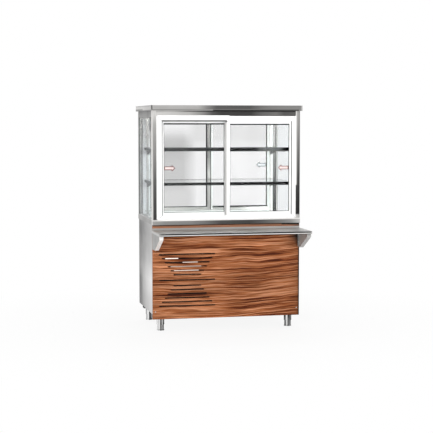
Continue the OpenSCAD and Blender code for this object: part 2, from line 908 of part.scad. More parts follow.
// Ceiling tray, folded up all round
module ceiling_panel() {
    color(white)
        difference() {
            block(-ceiling_half, ceiling_half, ceiling_front, body_depth - ceiling_front, ceiling_z,
                canopy_z + 10);
            block(-ceiling_half + 2, ceiling_half - 2, ceiling_front + 2, body_depth - ceiling_front - 2,
                ceiling_z + 2, canopy_z + 11);
        }
}

// Steel band below the canopy, stepped back to leave a shadow gap
module fascia_band() {
    step_z = canopy_z - 5.5;
    t = base_sheet;
    block(-frame_out, frame_out, side_gap, 20, fascia_z, fascia_z + t);
    block(-frame_out, frame_out, side_gap, side_gap + t, fascia_z, step_z);
    block(-frame_out, frame_out, side_gap, 10, step_z - t, step_z);
    block(-frame_out, frame_out, 10 - t, 10, step_z - t, canopy_roof);
}

module fascia() {
    color(steel) {
        fascia_band();
        translate([0, body_depth, 0])
            mirror([0, 1, 0])
                fascia_band();
    }
}

glass_out = half_width - 3;
glass_in = glass_out - side_unit;
glass_top = side_rail_z + 6;

// Hollow rail above each side glass, with a ledge that carries the ceiling
module side_rails() {
    y0 = post_size + side_gap;
    y1 = body_depth - post_size - side_gap;
    color(steel)
        for (s = [0, 1])
            mirror([s, 0, 0]) {
                difference() {
                    block(glass_in - 4, half_width - side_gap, y0, y1, side_rail_z, canopy_roof);
                    block(glass_in - side_gap, glass_out + side_gap, y0 - 1, y1 + 1, side_rail_z - 1,
                        glass_top + side_gap);
                    block(glass_in - 2, half_width - side_gap - 2, y0 - 1, y1 + 1, glass_top + 6,
                        canopy_roof - 2);
                }
                block(ceiling_half - 12, glass_in - 3.9, ceiling_front, body_depth - ceiling_front,
                    ceiling_z - seat - 2, ceiling_z - seat);
            }
}

// Double side glass: outer and inner pane
module side_glass() {
    y0 = post_size + side_gap;
    y1 = body_depth - post_size - side_gap;
    for (x = [glass_out - side_pane, glass_in])
        block(x, x + side_pane, y0, y1, deck_z + seat, glass_top);
}

module side_glass_right() {
    color(clear)
        side_glass();
}

module side_glass_left() {
    color(clear)
        mirror([1, 0, 0])
            side_glass();
}

// Spacer bars between the panes
module glass_spacers() {
    x0 = glass_in + side_pane + seat;
    x1 = glass_out - side_pane - seat;
    y0 = post_size + 2;
    y1 = body_depth - post_size - 2;
    z0 = deck_z + seat;
    z1 = glass_top - 1;
    color(dark)
        for (s = [0, 1])
            mirror([s, 0, 0]) {
                block(x0, x1, y0, y1, z0, z0 + 12);
                block(x0, x1, y0, y1, z1 - 12, z1);
                for (y = [y0, y1 - 12])
                    block(x0, x1, y, y + 12, z0 + 12 + seat, z1 - 12 - seat);
            }
}

lamp_half = half_width - 100;
lamp_front = ceiling_front + 14;
lamp_width = 26;
lamp_wall = 3;

// Lamp under the ceiling behind the front frame
module light_bar() {
    color(white) {
        difference() {
            block(-lamp_half, lamp_half, lamp_front, lamp_front + lamp_width, ceiling_z - seat - 15,
                ceiling_z - seat);
            block(-lamp_half + lamp_wall, lamp_half - lamp_wall, lamp_front + lamp_wall,
                lamp_front + lamp_width - lamp_wall, ceiling_z - 20, ceiling_z - 10);
        }
        block(-lamp_half + lamp_wall + side_gap, lamp_half - lamp_wall - side_gap,
            lamp_front + lamp_wall + side_gap, lamp_front + lamp_width - lamp_wall - side_gap,
            ceiling_z - 17, ceiling_z - 10 - seat);
    }
}

cut = 0.3;

// Saw cut of a mitre: thin slab through the inner and outer corner of the frame
module mitre_cut(xi, zi, xo, zo) {
    length = sqrt((xo - xi) * (xo - xi) + (zo - zi) * (zo - zi));
    ux = (xo - xi) / length;
    uz = (zo - zi) / length;
    w = cut / 2;
    e = 4;
    translate([0, frame_back + 1, 0])
        rotate([90, 0, 0])
            linear_extrude(height = frame_depth + 2)
                polygon([[xi - ux * e - uz * w, zi - uz * e + ux * w], [xi - ux * e + uz * w,
                    zi - uz * e - ux * w],
                    [xo + ux * e + uz * w, zo + uz * e - ux * w], [xo + ux * e - uz * w,
                        zo + uz * e + ux * w]]);
}

// Sliding door frame: four mitred members with two grooves all round
module track_frame() {
    x0 = opening_shift - opening_half;
    x1 = opening_shift + opening_half;
    z0 = deck_z + seat;
    difference() {
        block(-frame_out, frame_out, frame_front, frame_back, z0, frame_top);
        block(x0, x1, frame_front - 1, frame_back + 1, frame_in_bottom, frame_in_top);
        for (y = [track_outer_y, track_inner_y])
            block(x0 - side_groove, x1 + side_groove, y - track_width / 2, y + track_width / 2,
                frame_in_bottom - sill_groove, frame_in_top + head_groove);
        mitre_cut(x0, frame_in_bottom, -frame_out, z0);
        mitre_cut(x1, frame_in_bottom, frame_out, z0);
        mitre_cut(x0, frame_in_top, -frame_out, frame_top);
        mitre_cut(x1, frame_in_top, frame_out, frame_top);
    }
}

// Puts a front piece at the back of the case
module at_back() {
    translate([0, body_depth, 0])
        mirror([0, 1, 0])
            children();
}

module front_frame() {
    color(white)
        track_frame();
}

module rear_frame() {
    color(white)
        at_back()
            track_frame();
}

function door_x0(left) = opening_shift - (left ? door_edge : door_overlap);
function door_y(left) = left ? track_inner_y : track_outer_y;

roller_inset = 70;
pocket = 11;

// Door frame: two grooved stiles and two grooved rails, roller pockets in the lower rail
module door(left) {
    x0 = door_x0(left);
    x1 = x0 + door_width;
    y = door_y(left);
    h = door_thick / 2;
    hold = pane_hold + pane_gap;
    slit = door_pane / 2 + pane_gap;
    xa = x0 + stile_width;
    xb = x1 - stile_width;
    za = door_z + rail_height;
    zb = door_top - rail_height;
    difference() {
        union() {
            block(x0, xa, y - h, y + h, door_z, door_top);
            block(xb, x1, y - h, y + h, door_z, door_top);
            block(xa + seat, xb - seat, y - h, y + h, door_z, za);
            block(xa + seat, xb - seat, y - h, y + h, zb, door_top);
        }
        block(xa - hold, xb + hold, y - slit, y + slit, za - hold, zb + hold);
        for (x = [x0 + roller_inset, x1 - roller_inset]) {
            block(x - pocket, x + pocket, y - roller_width / 2 - 1, y + roller_width / 2 + 1,
                door_z - 1, roller_z + pocket);
            rod_y(x, roller_z, y - h + 1, y + h - 1, axle_radius + shaft_gap);
        }
    }
}

module pane(left) {
    x0 = door_x0(left) + stile_width - pane_hold;
    x1 = door_x0(left) + door_width - stile_width + pane_hold;
    y = door_y(left);
    block(x0, x1, y - door_pane / 2, y + door_pane / 2,
        door_z + rail_height - pane_hold, door_top - rail_height + pane_hold);
}

// Two wheels on their pins
module rollers(left) {
    y = door_y(left);
    w = roller_width / 2;
    for (x = [door_x0(left) + roller_inset, door_x0(left) + door_width - roller_inset]) {
        difference() {
            rod_y(x, roller_z, y - w, y + w, roller_radius);
            rod_y(x, roller_z, y - w - 1, y + w + 1, axle_radius + shaft_gap);
        }
        rod_y(x, roller_z, y - door_thick / 2 + 1.2, y + door_thick / 2 - 1.2, axle_radius);
    }
}

module door_front_left() {
    color(white)
        door(true);
}

module door_front_right() {
    color(white)
        door(false);
}

module door_rear_left() {
    color(white)
        at_back()
            door(true);
}

module door_rear_right() {
    color(white)
        at_back()
            door(false);
}

module pane_front_left() {
    color(clear)
        pane(true);
}

module pane_front_right() {
    color(clear)
        pane(false);
}

module pane_rear_left() {
    color(clear)
        at_back()
            pane(true);
}

module pane_rear_right() {
    color(clear)
        at_back()
            pane(false);
}

module rollers_front_left() {
    color(dark)
        rollers(true);
}

module rollers_front_right() {
    color(dark)
        rollers(false);
}

module rollers_rear_left() {
    color(dark)
        at_back()
            rollers(true);
}

module rollers_rear_right() {
    color(dark)
        at_back()
            rollers(false);
}

slot_step = shelf_step / 11;
tongue = 7;

function shelf_z(n) = deck_z + n * shelf_step + 0.5;

// Slotted uprights in the rear corners of the case
module shelf_uprights() {
    first = shelf_z(1) - 12 - 10 * slot_step;
    count = floor((ceiling_z - 20 - first) / slot_step);
    color(steel)
        for (s = [-1, 1])
            difference() {
                block(s * upright_x - upright_w / 2, s * upright_x + upright_w / 2, upright_front,
                    upright_back,
                    deck_z + seat, ceiling_z - seat);
                for (i = [0 : count])
                    block(s * upright_x - 2, s * upright_x + 2, upright_front - 1,
                        upright_front + tongue + 1,
                        first + i * slot_step - 7, first + i * slot_step + 7);
            }
}

// Cantilever arm with two tongues in the slots of the upright
module shelf_arm(x, z) {
    top = z - seat;
    rear = upright_front - 0.1;
    tip = shelf_front + 131;
    plate_yz(x - arm_thick / 2, x + arm_thick / 2)
        polygon([[rear, top], [tip, top], [tip, top - 10], [rear - 165, top - 14], [rear, top - 46]]);
    for (drop = [12, 12 + slot_step])
        block(x - arm_thick / 2, x + arm_thick / 2, rear - 1, upright_front + tongue,
            z - drop - 6, z - drop + 6);
}

module shelf_arms() {
    color(steel)
        for (s = [-1, 1], n = [1, 2])
            shelf_arm(s * arm_x, shelf_z(n));
}

rim_wall = 2;
rim_lip = 12;

function pane_z(n) = shelf_z(n) + shelf_edge - shelf_glass - 1;

// Metal edging that a glass shelf lies in, with two bars over the arms
module shelf_rim(n) {
    z0 = shelf_z(n);
    z1 = pane_z(n) - seat;
    difference() {
        block(-shelf_half, shelf_half, shelf_front, shelf_back, z0, z0 + shelf_edge);
        difference() {
            block(-shelf_half + rim_lip, shelf_half - rim_lip, shelf_front + rim_lip, shelf_back - rim_lip,
                z0 - 1, z0 + shelf_edge + 1);
            for (s = [-1, 1])
                block(s * arm_x - rim_lip / 2, s * arm_x + rim_lip / 2, shelf_front, shelf_back,
                    z0 - 2, z1);
        }
        block(-shelf_half + rim_wall, shelf_half - rim_wall, shelf_front + rim_wall, shelf_back - rim_wall,
            z1, z0 + shelf_edge + 1);
    }
}

module shelf_edges() {
    color(dark)
        for (n = [1, 2])
            shelf_rim(n);
}

module shelf(n) {
    inset = rim_wall + side_gap;
    color(clear)
        block(-shelf_half + inset, shelf_half - inset, shelf_front + inset, shelf_back - inset,
            pane_z(n), pane_z(n) + shelf_glass);
}

module shelf_lower() {
    shelf(1);
}

module shelf_upper() {
    shelf(2);
}

place()
        leg_front_left();
place()
        leg_front_right();
place()
        leg_rear_left();
place()
        leg_rear_right();
place()
        leg_rails();
place()
        side_panel_left();
place()
        side_panel_right();
place()
        base_floor();
place()
        front_panel();
place()
        screws();
place()
        back_panel();
place()
        rear_grille();
place()
        worktop();
place()
        cold_well();
place()
        deck_plate();
place()
        tray_slide();
place()
        tray_bracket_left();
place()
        tray_bracket_right();
place()
        compressor();
place()
        condenser_coil();
place()
        coil_hood();
place()
        fan_shroud();
place()
        condenser_fan();
place()
        copper_pipe();
place()
        evaporator();
place()
        evaporator_fan();
place()
        control_box();
place()
        power_switch();
place()
        service_fittings();
place()
        post_front_left();
place()
        post_front_right();
place()
        post_rear_left();
place()
        post_rear_right();
place()
        top_canopy();
place()
        ceiling_panel();
place()
        fascia();
place()
        side_rails();
place()
        side_glass_left();
place()
        side_glass_right();
place()
        glass_spacers();
place()
        light_bar();
place()
        front_frame();
place()
        rear_frame();
place()
        door_front_left();
place()
        door_front_right();
place()
        door_rear_left();
place()
        door_rear_right();
place()
        pane_front_left();
place()
        pane_front_right();
place()
        pane_rear_left();
place()
        pane_rear_right();
place()
        rollers_front_left();
place()
        rollers_front_right();
place()
        rollers_rear_left();
place()
        rollers_rear_right();
place()
        shelf_uprights();
place()
        shelf_arms();
place()
        shelf_edges();
place()
        shelf_lower();
place()
        shelf_upper();
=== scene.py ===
"""Refrigerated display counter: finishes, seals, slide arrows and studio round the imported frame."""

from __future__ import annotations

import logging
import math
from collections.abc import Callable, Sequence
from dataclasses import dataclass
from enum import Enum

import bmesh
import bpy
from mathutils import Euler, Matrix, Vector

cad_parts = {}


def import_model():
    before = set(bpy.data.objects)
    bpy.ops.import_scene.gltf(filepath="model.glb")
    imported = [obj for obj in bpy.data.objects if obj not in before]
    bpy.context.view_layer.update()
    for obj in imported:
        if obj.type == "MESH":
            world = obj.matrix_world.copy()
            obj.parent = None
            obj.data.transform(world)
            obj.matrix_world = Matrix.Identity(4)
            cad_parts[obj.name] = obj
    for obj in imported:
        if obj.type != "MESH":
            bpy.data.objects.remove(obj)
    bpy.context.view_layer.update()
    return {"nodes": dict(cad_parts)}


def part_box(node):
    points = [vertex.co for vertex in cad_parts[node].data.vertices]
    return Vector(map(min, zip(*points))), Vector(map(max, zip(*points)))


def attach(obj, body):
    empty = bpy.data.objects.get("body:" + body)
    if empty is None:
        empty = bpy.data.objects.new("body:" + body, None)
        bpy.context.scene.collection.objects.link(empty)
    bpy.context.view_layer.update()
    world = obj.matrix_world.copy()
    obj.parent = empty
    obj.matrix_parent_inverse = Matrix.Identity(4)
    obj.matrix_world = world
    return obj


LOG = logging.getLogger("display_counter")
MM = 0.001  # one millimetre, in Blender's metres

Colour = tuple[float, float, float]
Point = tuple[float, float, float]
Stops = tuple[tuple[float, float], ...]
Outline = Sequence[tuple[float, float]]
Socket = bpy.types.NodeSocket

WHITE: Colour = (1.0, 1.0, 1.0)
BLACK: Colour = (0.0, 0.0, 0.0)
UPRIGHT: Point = (900.0, 900.0, 9.0)  # grain of a sheet that was brushed upright


class Axis(Enum):
    """An axis of the object, by its place in a point."""

    X = 0
    Y = 1
    Z = 2

    @property
    def facing(self) -> str:
        """The output of the facing effect for a surface square to this axis."""
        return ("Side", "Front", "Top")[self.value]


class Door(Enum):
    """The four sliding doors, by the body that carries each."""

    FRONT_LEFT = "front_left_door"
    FRONT_RIGHT = "front_right_door"
    REAR_LEFT = "rear_left_door"
    REAR_RIGHT = "rear_right_door"

    @property
    def place(self) -> str:
        """The door's name as the CAD nodes end with it."""
        return self.value.removesuffix("_door")

    @property
    def is_front(self) -> bool:
        """True for a door on the customer's side."""
        return self.value.startswith("front")

    @property
    def is_left(self) -> bool:
        """True for a door that closes to the left."""
        return "left" in self.value


class Wiring:
    """Adds nodes to one node tree and links them."""

    def __init__(self, tree: bpy.types.NodeTree) -> None:
        """Keeps the tree.

        Args:
            tree: The node tree that the nodes go into.
        """
        self.tree = tree

    def node(self, kind: str, **settings: object) -> bpy.types.Node:
        """Adds a node.

        Args:
            kind: Blender's name of the node type.
            settings: Properties to set on it.

        Returns:
            The new node.
        """
        made = self.tree.nodes.new(kind)
        for name, value in settings.items():
            setattr(made, name, value)
        return made

    def feed(self, target: Socket, source: object) -> None:
        """Links a socket to the target, or sets the target's own value.

        Args:
            target: The input socket.
            source: An output socket, a number, or a tuple of numbers.
        """
        if isinstance(source, bpy.types.NodeSocket):
            self.tree.links.new(source, target)
        elif isinstance(source, tuple) and target.type == "RGBA":
            target.default_value = (*source, 1.0)
        else:
            target.default_value = source

    def math(self, operation: str, first: object, second: object = 0.0, *, clamp: bool = False) -> Socket:
        """Adds a Math node.

        Args:
            operation: The operation's name.
            first: The first number or socket.
            second: The second number or socket.
            clamp: Keeps the result between 0 and 1.

        Returns:
            The result.
        """
        made = self.node("ShaderNodeMath", operation=operation, use_clamp=clamp)
        self.feed(made.inputs[0], first)
        self.feed(made.inputs[1], second)
        return made.outputs[0]

    def blend(self, share: object, first: object, second: object, kind: str = "MIX") -> Socket:
        """Mixes two colours.

        Args:
            share: How much of the second colour, 0 to 1.
            first: The first colour or socket.
            second: The second colour or socket.
            kind: The blend type.

        Returns:
            The mixed colour.
        """
        made = self.node("ShaderNodeMix", data_type="RGBA", blend_type=kind)
        share_socket, first_colour, second_colour = (made.inputs[index] for index in (0, 6, 7))
        self.feed(share_socket, share)
        self.feed(first_colour, first)
        self.feed(second_colour, second)
        return made.outputs[2]

    def ramp(self, place: Socket, stops: Sequence[tuple[float, Colour]]) -> Socket:
        """Adds a colour ramp.

        Args:
            place: The value that the ramp reads.
            stops: Place and colour of each stop, lowest place first.

        Returns:
            The ramp's colour.
        """
        made = self.node("ShaderNodeValToRGB")
        elements = made.color_ramp.elements
        while len(elements) > 1:
            elements.remove(elements[-1])
        elements[0].position = stops[0][0]
        elements[0].color = (*stops[0][1], 1.0)
        for position, colour in stops[1:]:
            elements.new(position).color = (*colour, 1.0)
        self.feed(made.inputs[0], place)
        return made.outputs[0]

    def spread(
        self, value: Socket, low: float, high: float, out_low: float = 0.0, out_high: float = 1.0
    ) -> Socket:
        """Maps a value from one range to another, and holds it there.

        Args:
            value: The value.
            low: Its value at the start of the range.
            high: Its value at the end of the range.
            out_low: The result at the start.
            out_high: The result at the end.

        Returns:
            The mapped value.
        """
        made = self.node("ShaderNodeMapRange")
        for index, number in enumerate((value, low, high, out_low, out_high)):
            self.feed(made.inputs[index], number)
        return made.outputs[0]

    def between(self, share: Socket, low: float, high: float) -> Socket:
        """Maps a share of 0 to 1 onto another range."""
        return self.spread(share, 0.0, 1.0, low, high)

    def noise(self, vector: Socket, scale: float, detail: float = 3.0, rough: float = 0.5) -> Socket:
        """Adds a noise texture.

        Args:
            vector: Where to read it.
            scale: Its scale.
            detail: Its number of octaves.
            rough: How strong the fine octaves are.

        Returns:
            The noise value, 0 to 1.
        """
        made = self.node("ShaderNodeTexNoise")
        self.feed(made.inputs["Vector"], vector)
        self.feed(made.inputs["Scale"], scale)
        self.feed(made.inputs["Detail"], detail)
        self.feed(made.inputs["Roughness"], rough)
        return made.outputs[0]

    def stretched(self, vector: Socket, scale: object) -> Socket:
        """Scales a vector by its own amount on each axis.

        Args:
            vector: The vector.
            scale: The three amounts, or a socket that gives them.

        Returns:
            The scaled vector.
        """
        made = self.node("ShaderNodeVectorMath", operation="MULTIPLY")
        self.feed(made.inputs[0], vector)
        self.feed(made.inputs[1], scale)
        return made.outputs[0]

    def scaled(self, vector: object, factor: Socket) -> Socket:
        """Multiplies a vector or colour by one number.

        Args:
            vector: The vector or colour, or a socket that gives it.
            factor: The number.

        Returns:
            The product.
        """
        made = self.node("ShaderNodeVectorMath", operation="SCALE")
        self.feed(made.inputs[0], vector)
        self.feed(made.inputs["Scale"], factor)
        return made.outputs[0]

    def parts(self, vector: Socket) -> tuple[Socket, Socket, Socket]:
        """Splits a vector into its three numbers.

        Args:
            vector: The vector.

        Returns:
            Its X, Y and Z.
        """
        made = self.node("ShaderNodeSeparateXYZ")
        self.feed(made.inputs[0], vector)
        return made.outputs[0], made.outputs[1], made.outputs[2]

    def place(self) -> Socket:
        """The point of the surface in the object's own coordinates, in metres."""
        return self.node("ShaderNodeTexCoord").outputs["Object"]

    def effect(self, group: bpy.types.NodeTree, **inputs: object) -> bpy.types.Node:
        """Places a shared effect in this tree.

        Args:
            group: The node group.
            inputs: A value or socket for each named input, with _ for a space.

        Returns:
            The group's node.
        """
        made = self.node("ShaderNodeGroup", node_tree=group)
        for name, value in inputs.items():
            self.feed(made.inputs[name.replace("_", " ")], value)
        return made

    def marks(self, place: Socket, scale: float) -> Socket:
        """The mask of hand marks at a point of the surface."""
        return self.effect(hand_marks(), Place=place, Scale=scale).outputs["Mask"]

    def bump(self, height: Socket, strength: float, distance: float, normal: Socket | None = None) -> Socket:
        """Adds a Bump node.

        Args:
            height: The height that it reads.
            strength: Its strength, 0 to 1.
            distance: Its depth in metres.
            normal: A normal to start from.

        Returns:
            The bumped normal.
        """
        made = self.node("ShaderNodeBump")
        made.inputs["Strength"].default_value = strength
        made.inputs["Distance"].default_value = distance
        self.feed(made.inputs["Height"], height)
        if normal is not None:
            self.feed(made.inputs["Normal"], normal)
        return made.outputs[0]

    def coat(self, shader: bpy.types.Node, colour: Socket, roughness: Socket, normal: Socket) -> None:
        """Feeds a shader what changes over the surface.

        Args:
            shader: The Principled shader.
            colour: Its base colour.
            roughness: Its roughness.
            normal: Its normal.
        """
        self.feed(shader.inputs["Base Color"], colour)
        self.feed(shader.inputs["Roughness"], roughness)
        self.feed(shader.inputs["Normal"], normal)

    def show(self, share: Socket, first: bpy.types.Node, second: bpy.types.Node) -> None:
        """Mixes two shaders and shows the result as the material's surface.

        Args:
            share: How much of the second shader, 0 to 1.
            first: The first shader.
            second: The second shader.
        """
        mix = self.node("ShaderNodeMixShader")
        self.feed(mix.inputs[0], share)
        self.feed(mix.inputs[1], first.outputs[0])
        self.feed(mix.inputs[2], second.outputs[0])
        self.feed(self.tree.nodes["Material Output"].inputs[0], mix.outputs[0])


def shared_effect(
    name: str,
    inputs: Sequence[tuple[str, str, object]],
    outputs: Sequence[tuple[str, str]],
    fill: Callable[[Wiring, bpy.types.Node, bpy.types.Node], None],
) -> bpy.types.NodeTree:
    """Makes a shader node group once, and gives the same one after that.

    Args:
        name: The group's name.
        inputs: Name, socket type and default of each input.
        outputs: Name and socket type of each output.
        fill: Builds the nodes between the group's input and output nodes.

    Returns:
        The node group.
    """
    if name in bpy.data.node_groups:
        return bpy.data.node_groups[name]
    group = bpy.data.node_groups.new(name, "ShaderNodeTree")
    for label, kind, default in inputs:
        socket = group.interface.new_socket(label, in_out="INPUT", socket_type=kind)
        if default is not None:
            socket.default_value = default
    for label, kind in outputs:
        group.interface.new_socket(label, in_out="OUTPUT", socket_type=kind)
    fill(Wiring(group), group.nodes.new("NodeGroupInput"), group.nodes.new("NodeGroupOutput"))
    return group


def brushed_grain() -> bpy.types.NodeTree:
    """Fine grain drawn out along the direction in which a sheet was brushed.

    Returns:
        The node group.
    """
    broad_scale = 0.12

    def fill(wiring: Wiring, given: bpy.types.Node, result: bpy.types.Node) -> None:
        """Builds the nodes.

        Args:
            wiring: The group's wiring.
            given: The group's input node.
            result: The group's output node.
        """
        drawn = wiring.stretched(given.outputs["Place"], given.outputs["Lines"])
        fine = wiring.noise(drawn, 1.0, detail=4.0, rough=0.65)
        broad = wiring.noise(drawn, broad_scale, detail=2.0)
        wiring.feed(result.inputs["Grain"], fine)
        wiring.feed(result.inputs["Streak"], wiring.spread(broad, low=0.3, high=0.7))

    return shared_effect(
        "brushed_grain",
        [("Place", "NodeSocketVector", None), ("Lines", "NodeSocketVector", (100.0, 100.0, 100.0))],
        [("Grain", "NodeSocketFloat"), ("Streak", "NodeSocketFloat")],
        fill,
    )


def hand_marks() -> bpy.types.NodeTree:
    """Cloudy patches where hands and cloths have changed the gloss.

    Returns:
        The node group.
    """

    def fill(wiring: Wiring, given: bpy.types.Node, result: bpy.types.Node) -> None:
        """Builds the nodes.

        Args:
            wiring: The group's wiring.
            given: The group's input node.
            result: The group's output node.
        """
        scaled = wiring.scaled(given.outputs["Place"], given.outputs["Scale"])
        cloud = wiring.noise(scaled, 1.0, detail=5.0, rough=0.6)
        wiring.feed(result.inputs["Mask"], wiring.spread(cloud, low=0.42, high=0.68))

    return shared_effect(
        "hand_marks",
        [("Place", "NodeSocketVector", None), ("Scale", "NodeSocketFloat", 6.0)],
        [("Mask", "NodeSocketFloat")],
        fill,
    )


def softened_edge() -> bpy.types.NodeTree:
    """Rounds the shading of sharp edges, and gives a mask of where they are.

    Returns:
        The node group.
    """

    def fill(wiring: Wiring, given: bpy.types.Node, result: bpy.types.Node) -> None:
        """Builds the nodes.

        Args:
            wiring: The group's wiring.
            given: The group's input node.
            result: The group's output node.
        """
        bevel = wiring.node("ShaderNodeBevel", samples=4)
        wiring.feed(bevel.inputs["Radius"], given.outputs["Radius"])
        flat = wiring.node("ShaderNodeNewGeometry").outputs["Normal"]
        dot = wiring.node("ShaderNodeVectorMath", operation="DOT_PRODUCT")
        wiring.feed(dot.inputs[0], bevel.outputs[0])
        wiring.feed(dot.inputs[1], flat)
        wiring.feed(result.inputs["Edge"], wiring.spread(dot.outputs["Value"], low=0.995, high=0.8))
        wiring.feed(result.inputs["Normal"], bevel.outputs[0])

    return shared_effect(
        "softened_edge",
        [("Radius", "NodeSocketFloat", 0.001)],
        [("Edge", "NodeSocketFloat"), ("Normal", "NodeSocketVector")],
        fill,
    )


def facing() -> bpy.types.NodeTree:
    """How far a surface faces sideways, forwards or up, as three shares that add up to 1.

    Returns:
        The node group.
    """

    def fill(wiring: Wiring, given: bpy.types.Node, result: bpy.types.Node) -> None:
        """Builds the nodes.

        Args:
            wiring: The group's wiring.
            given: The group's input node.
            result: The group's output node.
        """
        normal = wiring.node("ShaderNodeTexCoord").outputs["Normal"]
        for label, part in zip(("Side", "Front", "Top"), wiring.parts(normal), strict=True):
            wiring.feed(result.inputs[label], wiring.math("MULTIPLY", part, part))

    return shared_effect(
        "facing",
        [],
        [("Side", "NodeSocketFloat"), ("Front", "NodeSocketFloat"), ("Top", "NodeSocketFloat")],
        fill,
    )


def grey(tone: float) -> Colour:
    """A neutral colour of one tone."""
    return (tone, tone, tone)


@dataclass(frozen=True)
class Sweep:
    """A soft sweep of painted light and shade along one axis: places in metres and the tone at each."""

    axis: Axis
    stops: Stops

    def wire(self, wiring: Wiring, place: Socket) -> Socket:
        """Adds the sweep to a material.

        Args:
            wiring: The material's wiring.
            place: The point of the surface.

        Returns:
            The tone as a grey colour.
        """
        low, high = self.stops[0][0], self.stops[-1][0]
        along = wiring.spread(wiring.parts(place)[self.axis.value], low, high)
        return wiring.ramp(along, [((at - low) / (high - low), grey(tone)) for at, tone in self.stops])


@dataclass(frozen=True)
class Patch:
    """A soft-edged area of painted light and shade, in another tone: its reach along some axes, in metres."""

    reach: tuple[tuple[Axis, float, float], ...]
    tone: float
    soft: float = 2.0 * MM
    tint: Colour = WHITE
    strength: float = 1.0

    def wire(self, wiring: Wiring, place: Socket, colour: object) -> Socket:
        """Adds the patch to a material.

        Args:
            wiring: The material's wiring.
            place: The point of the surface.
            colour: The colour round the patch.

        Returns:
            The colour with the patch in it.
        """
        mask: object = 1.0
        for axis, low, high in self.reach:
            along = wiring.parts(place)[axis.value]
            for edge, way in ((low, 1.0), (high, -1.0)):
                inside = wiring.spread(along, edge - way * self.soft, edge + way * self.soft)
                mask = wiring.math("MULTIPLY", inside, mask)
        if self.strength < 1.0:
            mask = wiring.math("MULTIPLY", mask, self.strength)
        return wiring.blend(mask, colour, tuple(self.tone * part for part in self.tint))


@dataclass(frozen=True)
class Face:
    """What a sheet shows on one facing: its tone, with the sweeps and patches of painted reflection and shade
    that change it.
    """

    tone: float
    sweeps: tuple[Sweep, ...] = ()
    patches: tuple[Patch, ...] = ()

    def wire(self, wiring: Wiring, place: Socket) -> object:
        """Adds the facing's tone to a material.

        Args:
            wiring: The material's wiring.
            place: The point of the surface.

        Returns:
            The tone as a grey colour.
        """
        shown: object = grey(self.tone)
        for sweep in self.sweeps:
            shown = wiring.blend(1.0, shown, sweep.wire(wiring, place), "MULTIPLY")
        for patch in self.patches:
            shown = patch.wire(wiring, place, shown)
        return shown


@dataclass(frozen=True)
class Noise:
    """A noise texture drawn out along the axes."""

    stretch: Point
    octaves: float
    rough: float = 0.5

    def read(self, wiring: Wiring, vector: Socket) -> Socket:
        """Reads the noise at a point of the surface."""
        return wiring.noise(wiring.stretched(vector, self.stretch), 1.0, self.octaves, self.rough)


def plain_material(name: str) -> tuple[bpy.types.Material, Wiring, bpy.types.Node]:
    """Makes a material with a Principled shader.

    Args:
        name: The material's name.

    Returns:
        The material, its wiring and the shader node.
    """
    material = bpy.data.materials.new(name)
    material.use_nodes = True
    return material, Wiring(material.node_tree), material.node_tree.nodes["Principled BSDF"]


@dataclass(frozen=True)
class Steel:
    """Brushed stainless sheet, with painted reflection and shade: soft light and dark sweeps in its colour
    that stand in for what it mirrors in a studio.
    """

    name: str
    front: Face = Face(0.42)
    side: Face = Face(0.42)
    top: Face = Face(0.55)
    # Glints: patches of painted light that glow on front faces, though the sheet is no lamp.
    glints: tuple[Patch, ...] = ()
    glint_strength: float = 1.4
    tint: Colour = (1.0, 0.985, 0.96)
    lines: Point = (9.0, 600.0, 900.0)
    grain: float = 0.16
    grain_reach: tuple[float, float] = (0.25, 0.75)
    relief: float = 0.12
    relief_depth: float = 0.2 * MM
    roughness: float = 0.34
    marked: float = 0.1
    marks_scale: float = 7.0
    metal: float = 1.0
    edge_radius: float = 1.2 * MM
    edge_highlight_share: float = 0.35
    edge_highlight_tone: Colour = (0.85, 0.85, 0.84)

    def build(self) -> bpy.types.Material:
        """Builds the material.

        Returns:
            The material.
        """
        material, wiring, shader = plain_material(self.name)
        place = wiring.place()
        turned = wiring.effect(facing())
        brushed = wiring.effect(brushed_grain(), Place=place, Lines=self.lines)
        edge = wiring.effect(softened_edge(), Radius=self.edge_radius)
        # Painted reflection and shade: the tones, sweeps and patches of the three facings, blended by how far
        # the surface faces each way.
        front, side = self.front.wire(wiring, place), self.side.wire(wiring, place)
        colour = wiring.blend(turned.outputs["Side"], front, side)
        colour = wiring.blend(turned.outputs["Top"], colour, self.top.wire(wiring, place))
        colour = wiring.blend(1.0, colour, self.tint, "MULTIPLY")
        fine = wiring.spread(brushed.outputs["Grain"], *self.grain_reach, 1.0 - self.grain, 1.0 + self.grain)
        broad = wiring.between(brushed.outputs["Streak"], 1.0 - self.grain / 4, 1.0 + self.grain / 4)
        colour = wiring.scaled(colour, wiring.math("MULTIPLY", fine, broad))
        # Painted highlight: the rounded edges are lightened towards a pale tone.
        edge_highlight = wiring.math("MULTIPLY", edge.outputs["Edge"], self.edge_highlight_share)
        colour = wiring.blend(edge_highlight, colour, self.edge_highlight_tone)
        marks = wiring.marks(place, self.marks_scale)
        rough = wiring.between(marks, self.roughness, self.roughness + self.marked)
        normal = wiring.bump(brushed.outputs["Grain"], self.relief, self.relief_depth, edge.outputs["Normal"])
        wiring.coat(shader, colour, rough, normal)
        shader.inputs["Metallic"].default_value = self.metal
        # Painted light: the glint patches glow as emission on the front faces.
        if self.glints:
            lit: object = BLACK
            for patch in self.glints:
                lit = patch.wire(wiring, place, lit)
            wiring.feed(shader.inputs["Emission Color"], wiring.blend(turned.outputs["Front"], BLACK, lit))
            shader.inputs["Emission Strength"].default_value = self.glint_strength
        return material


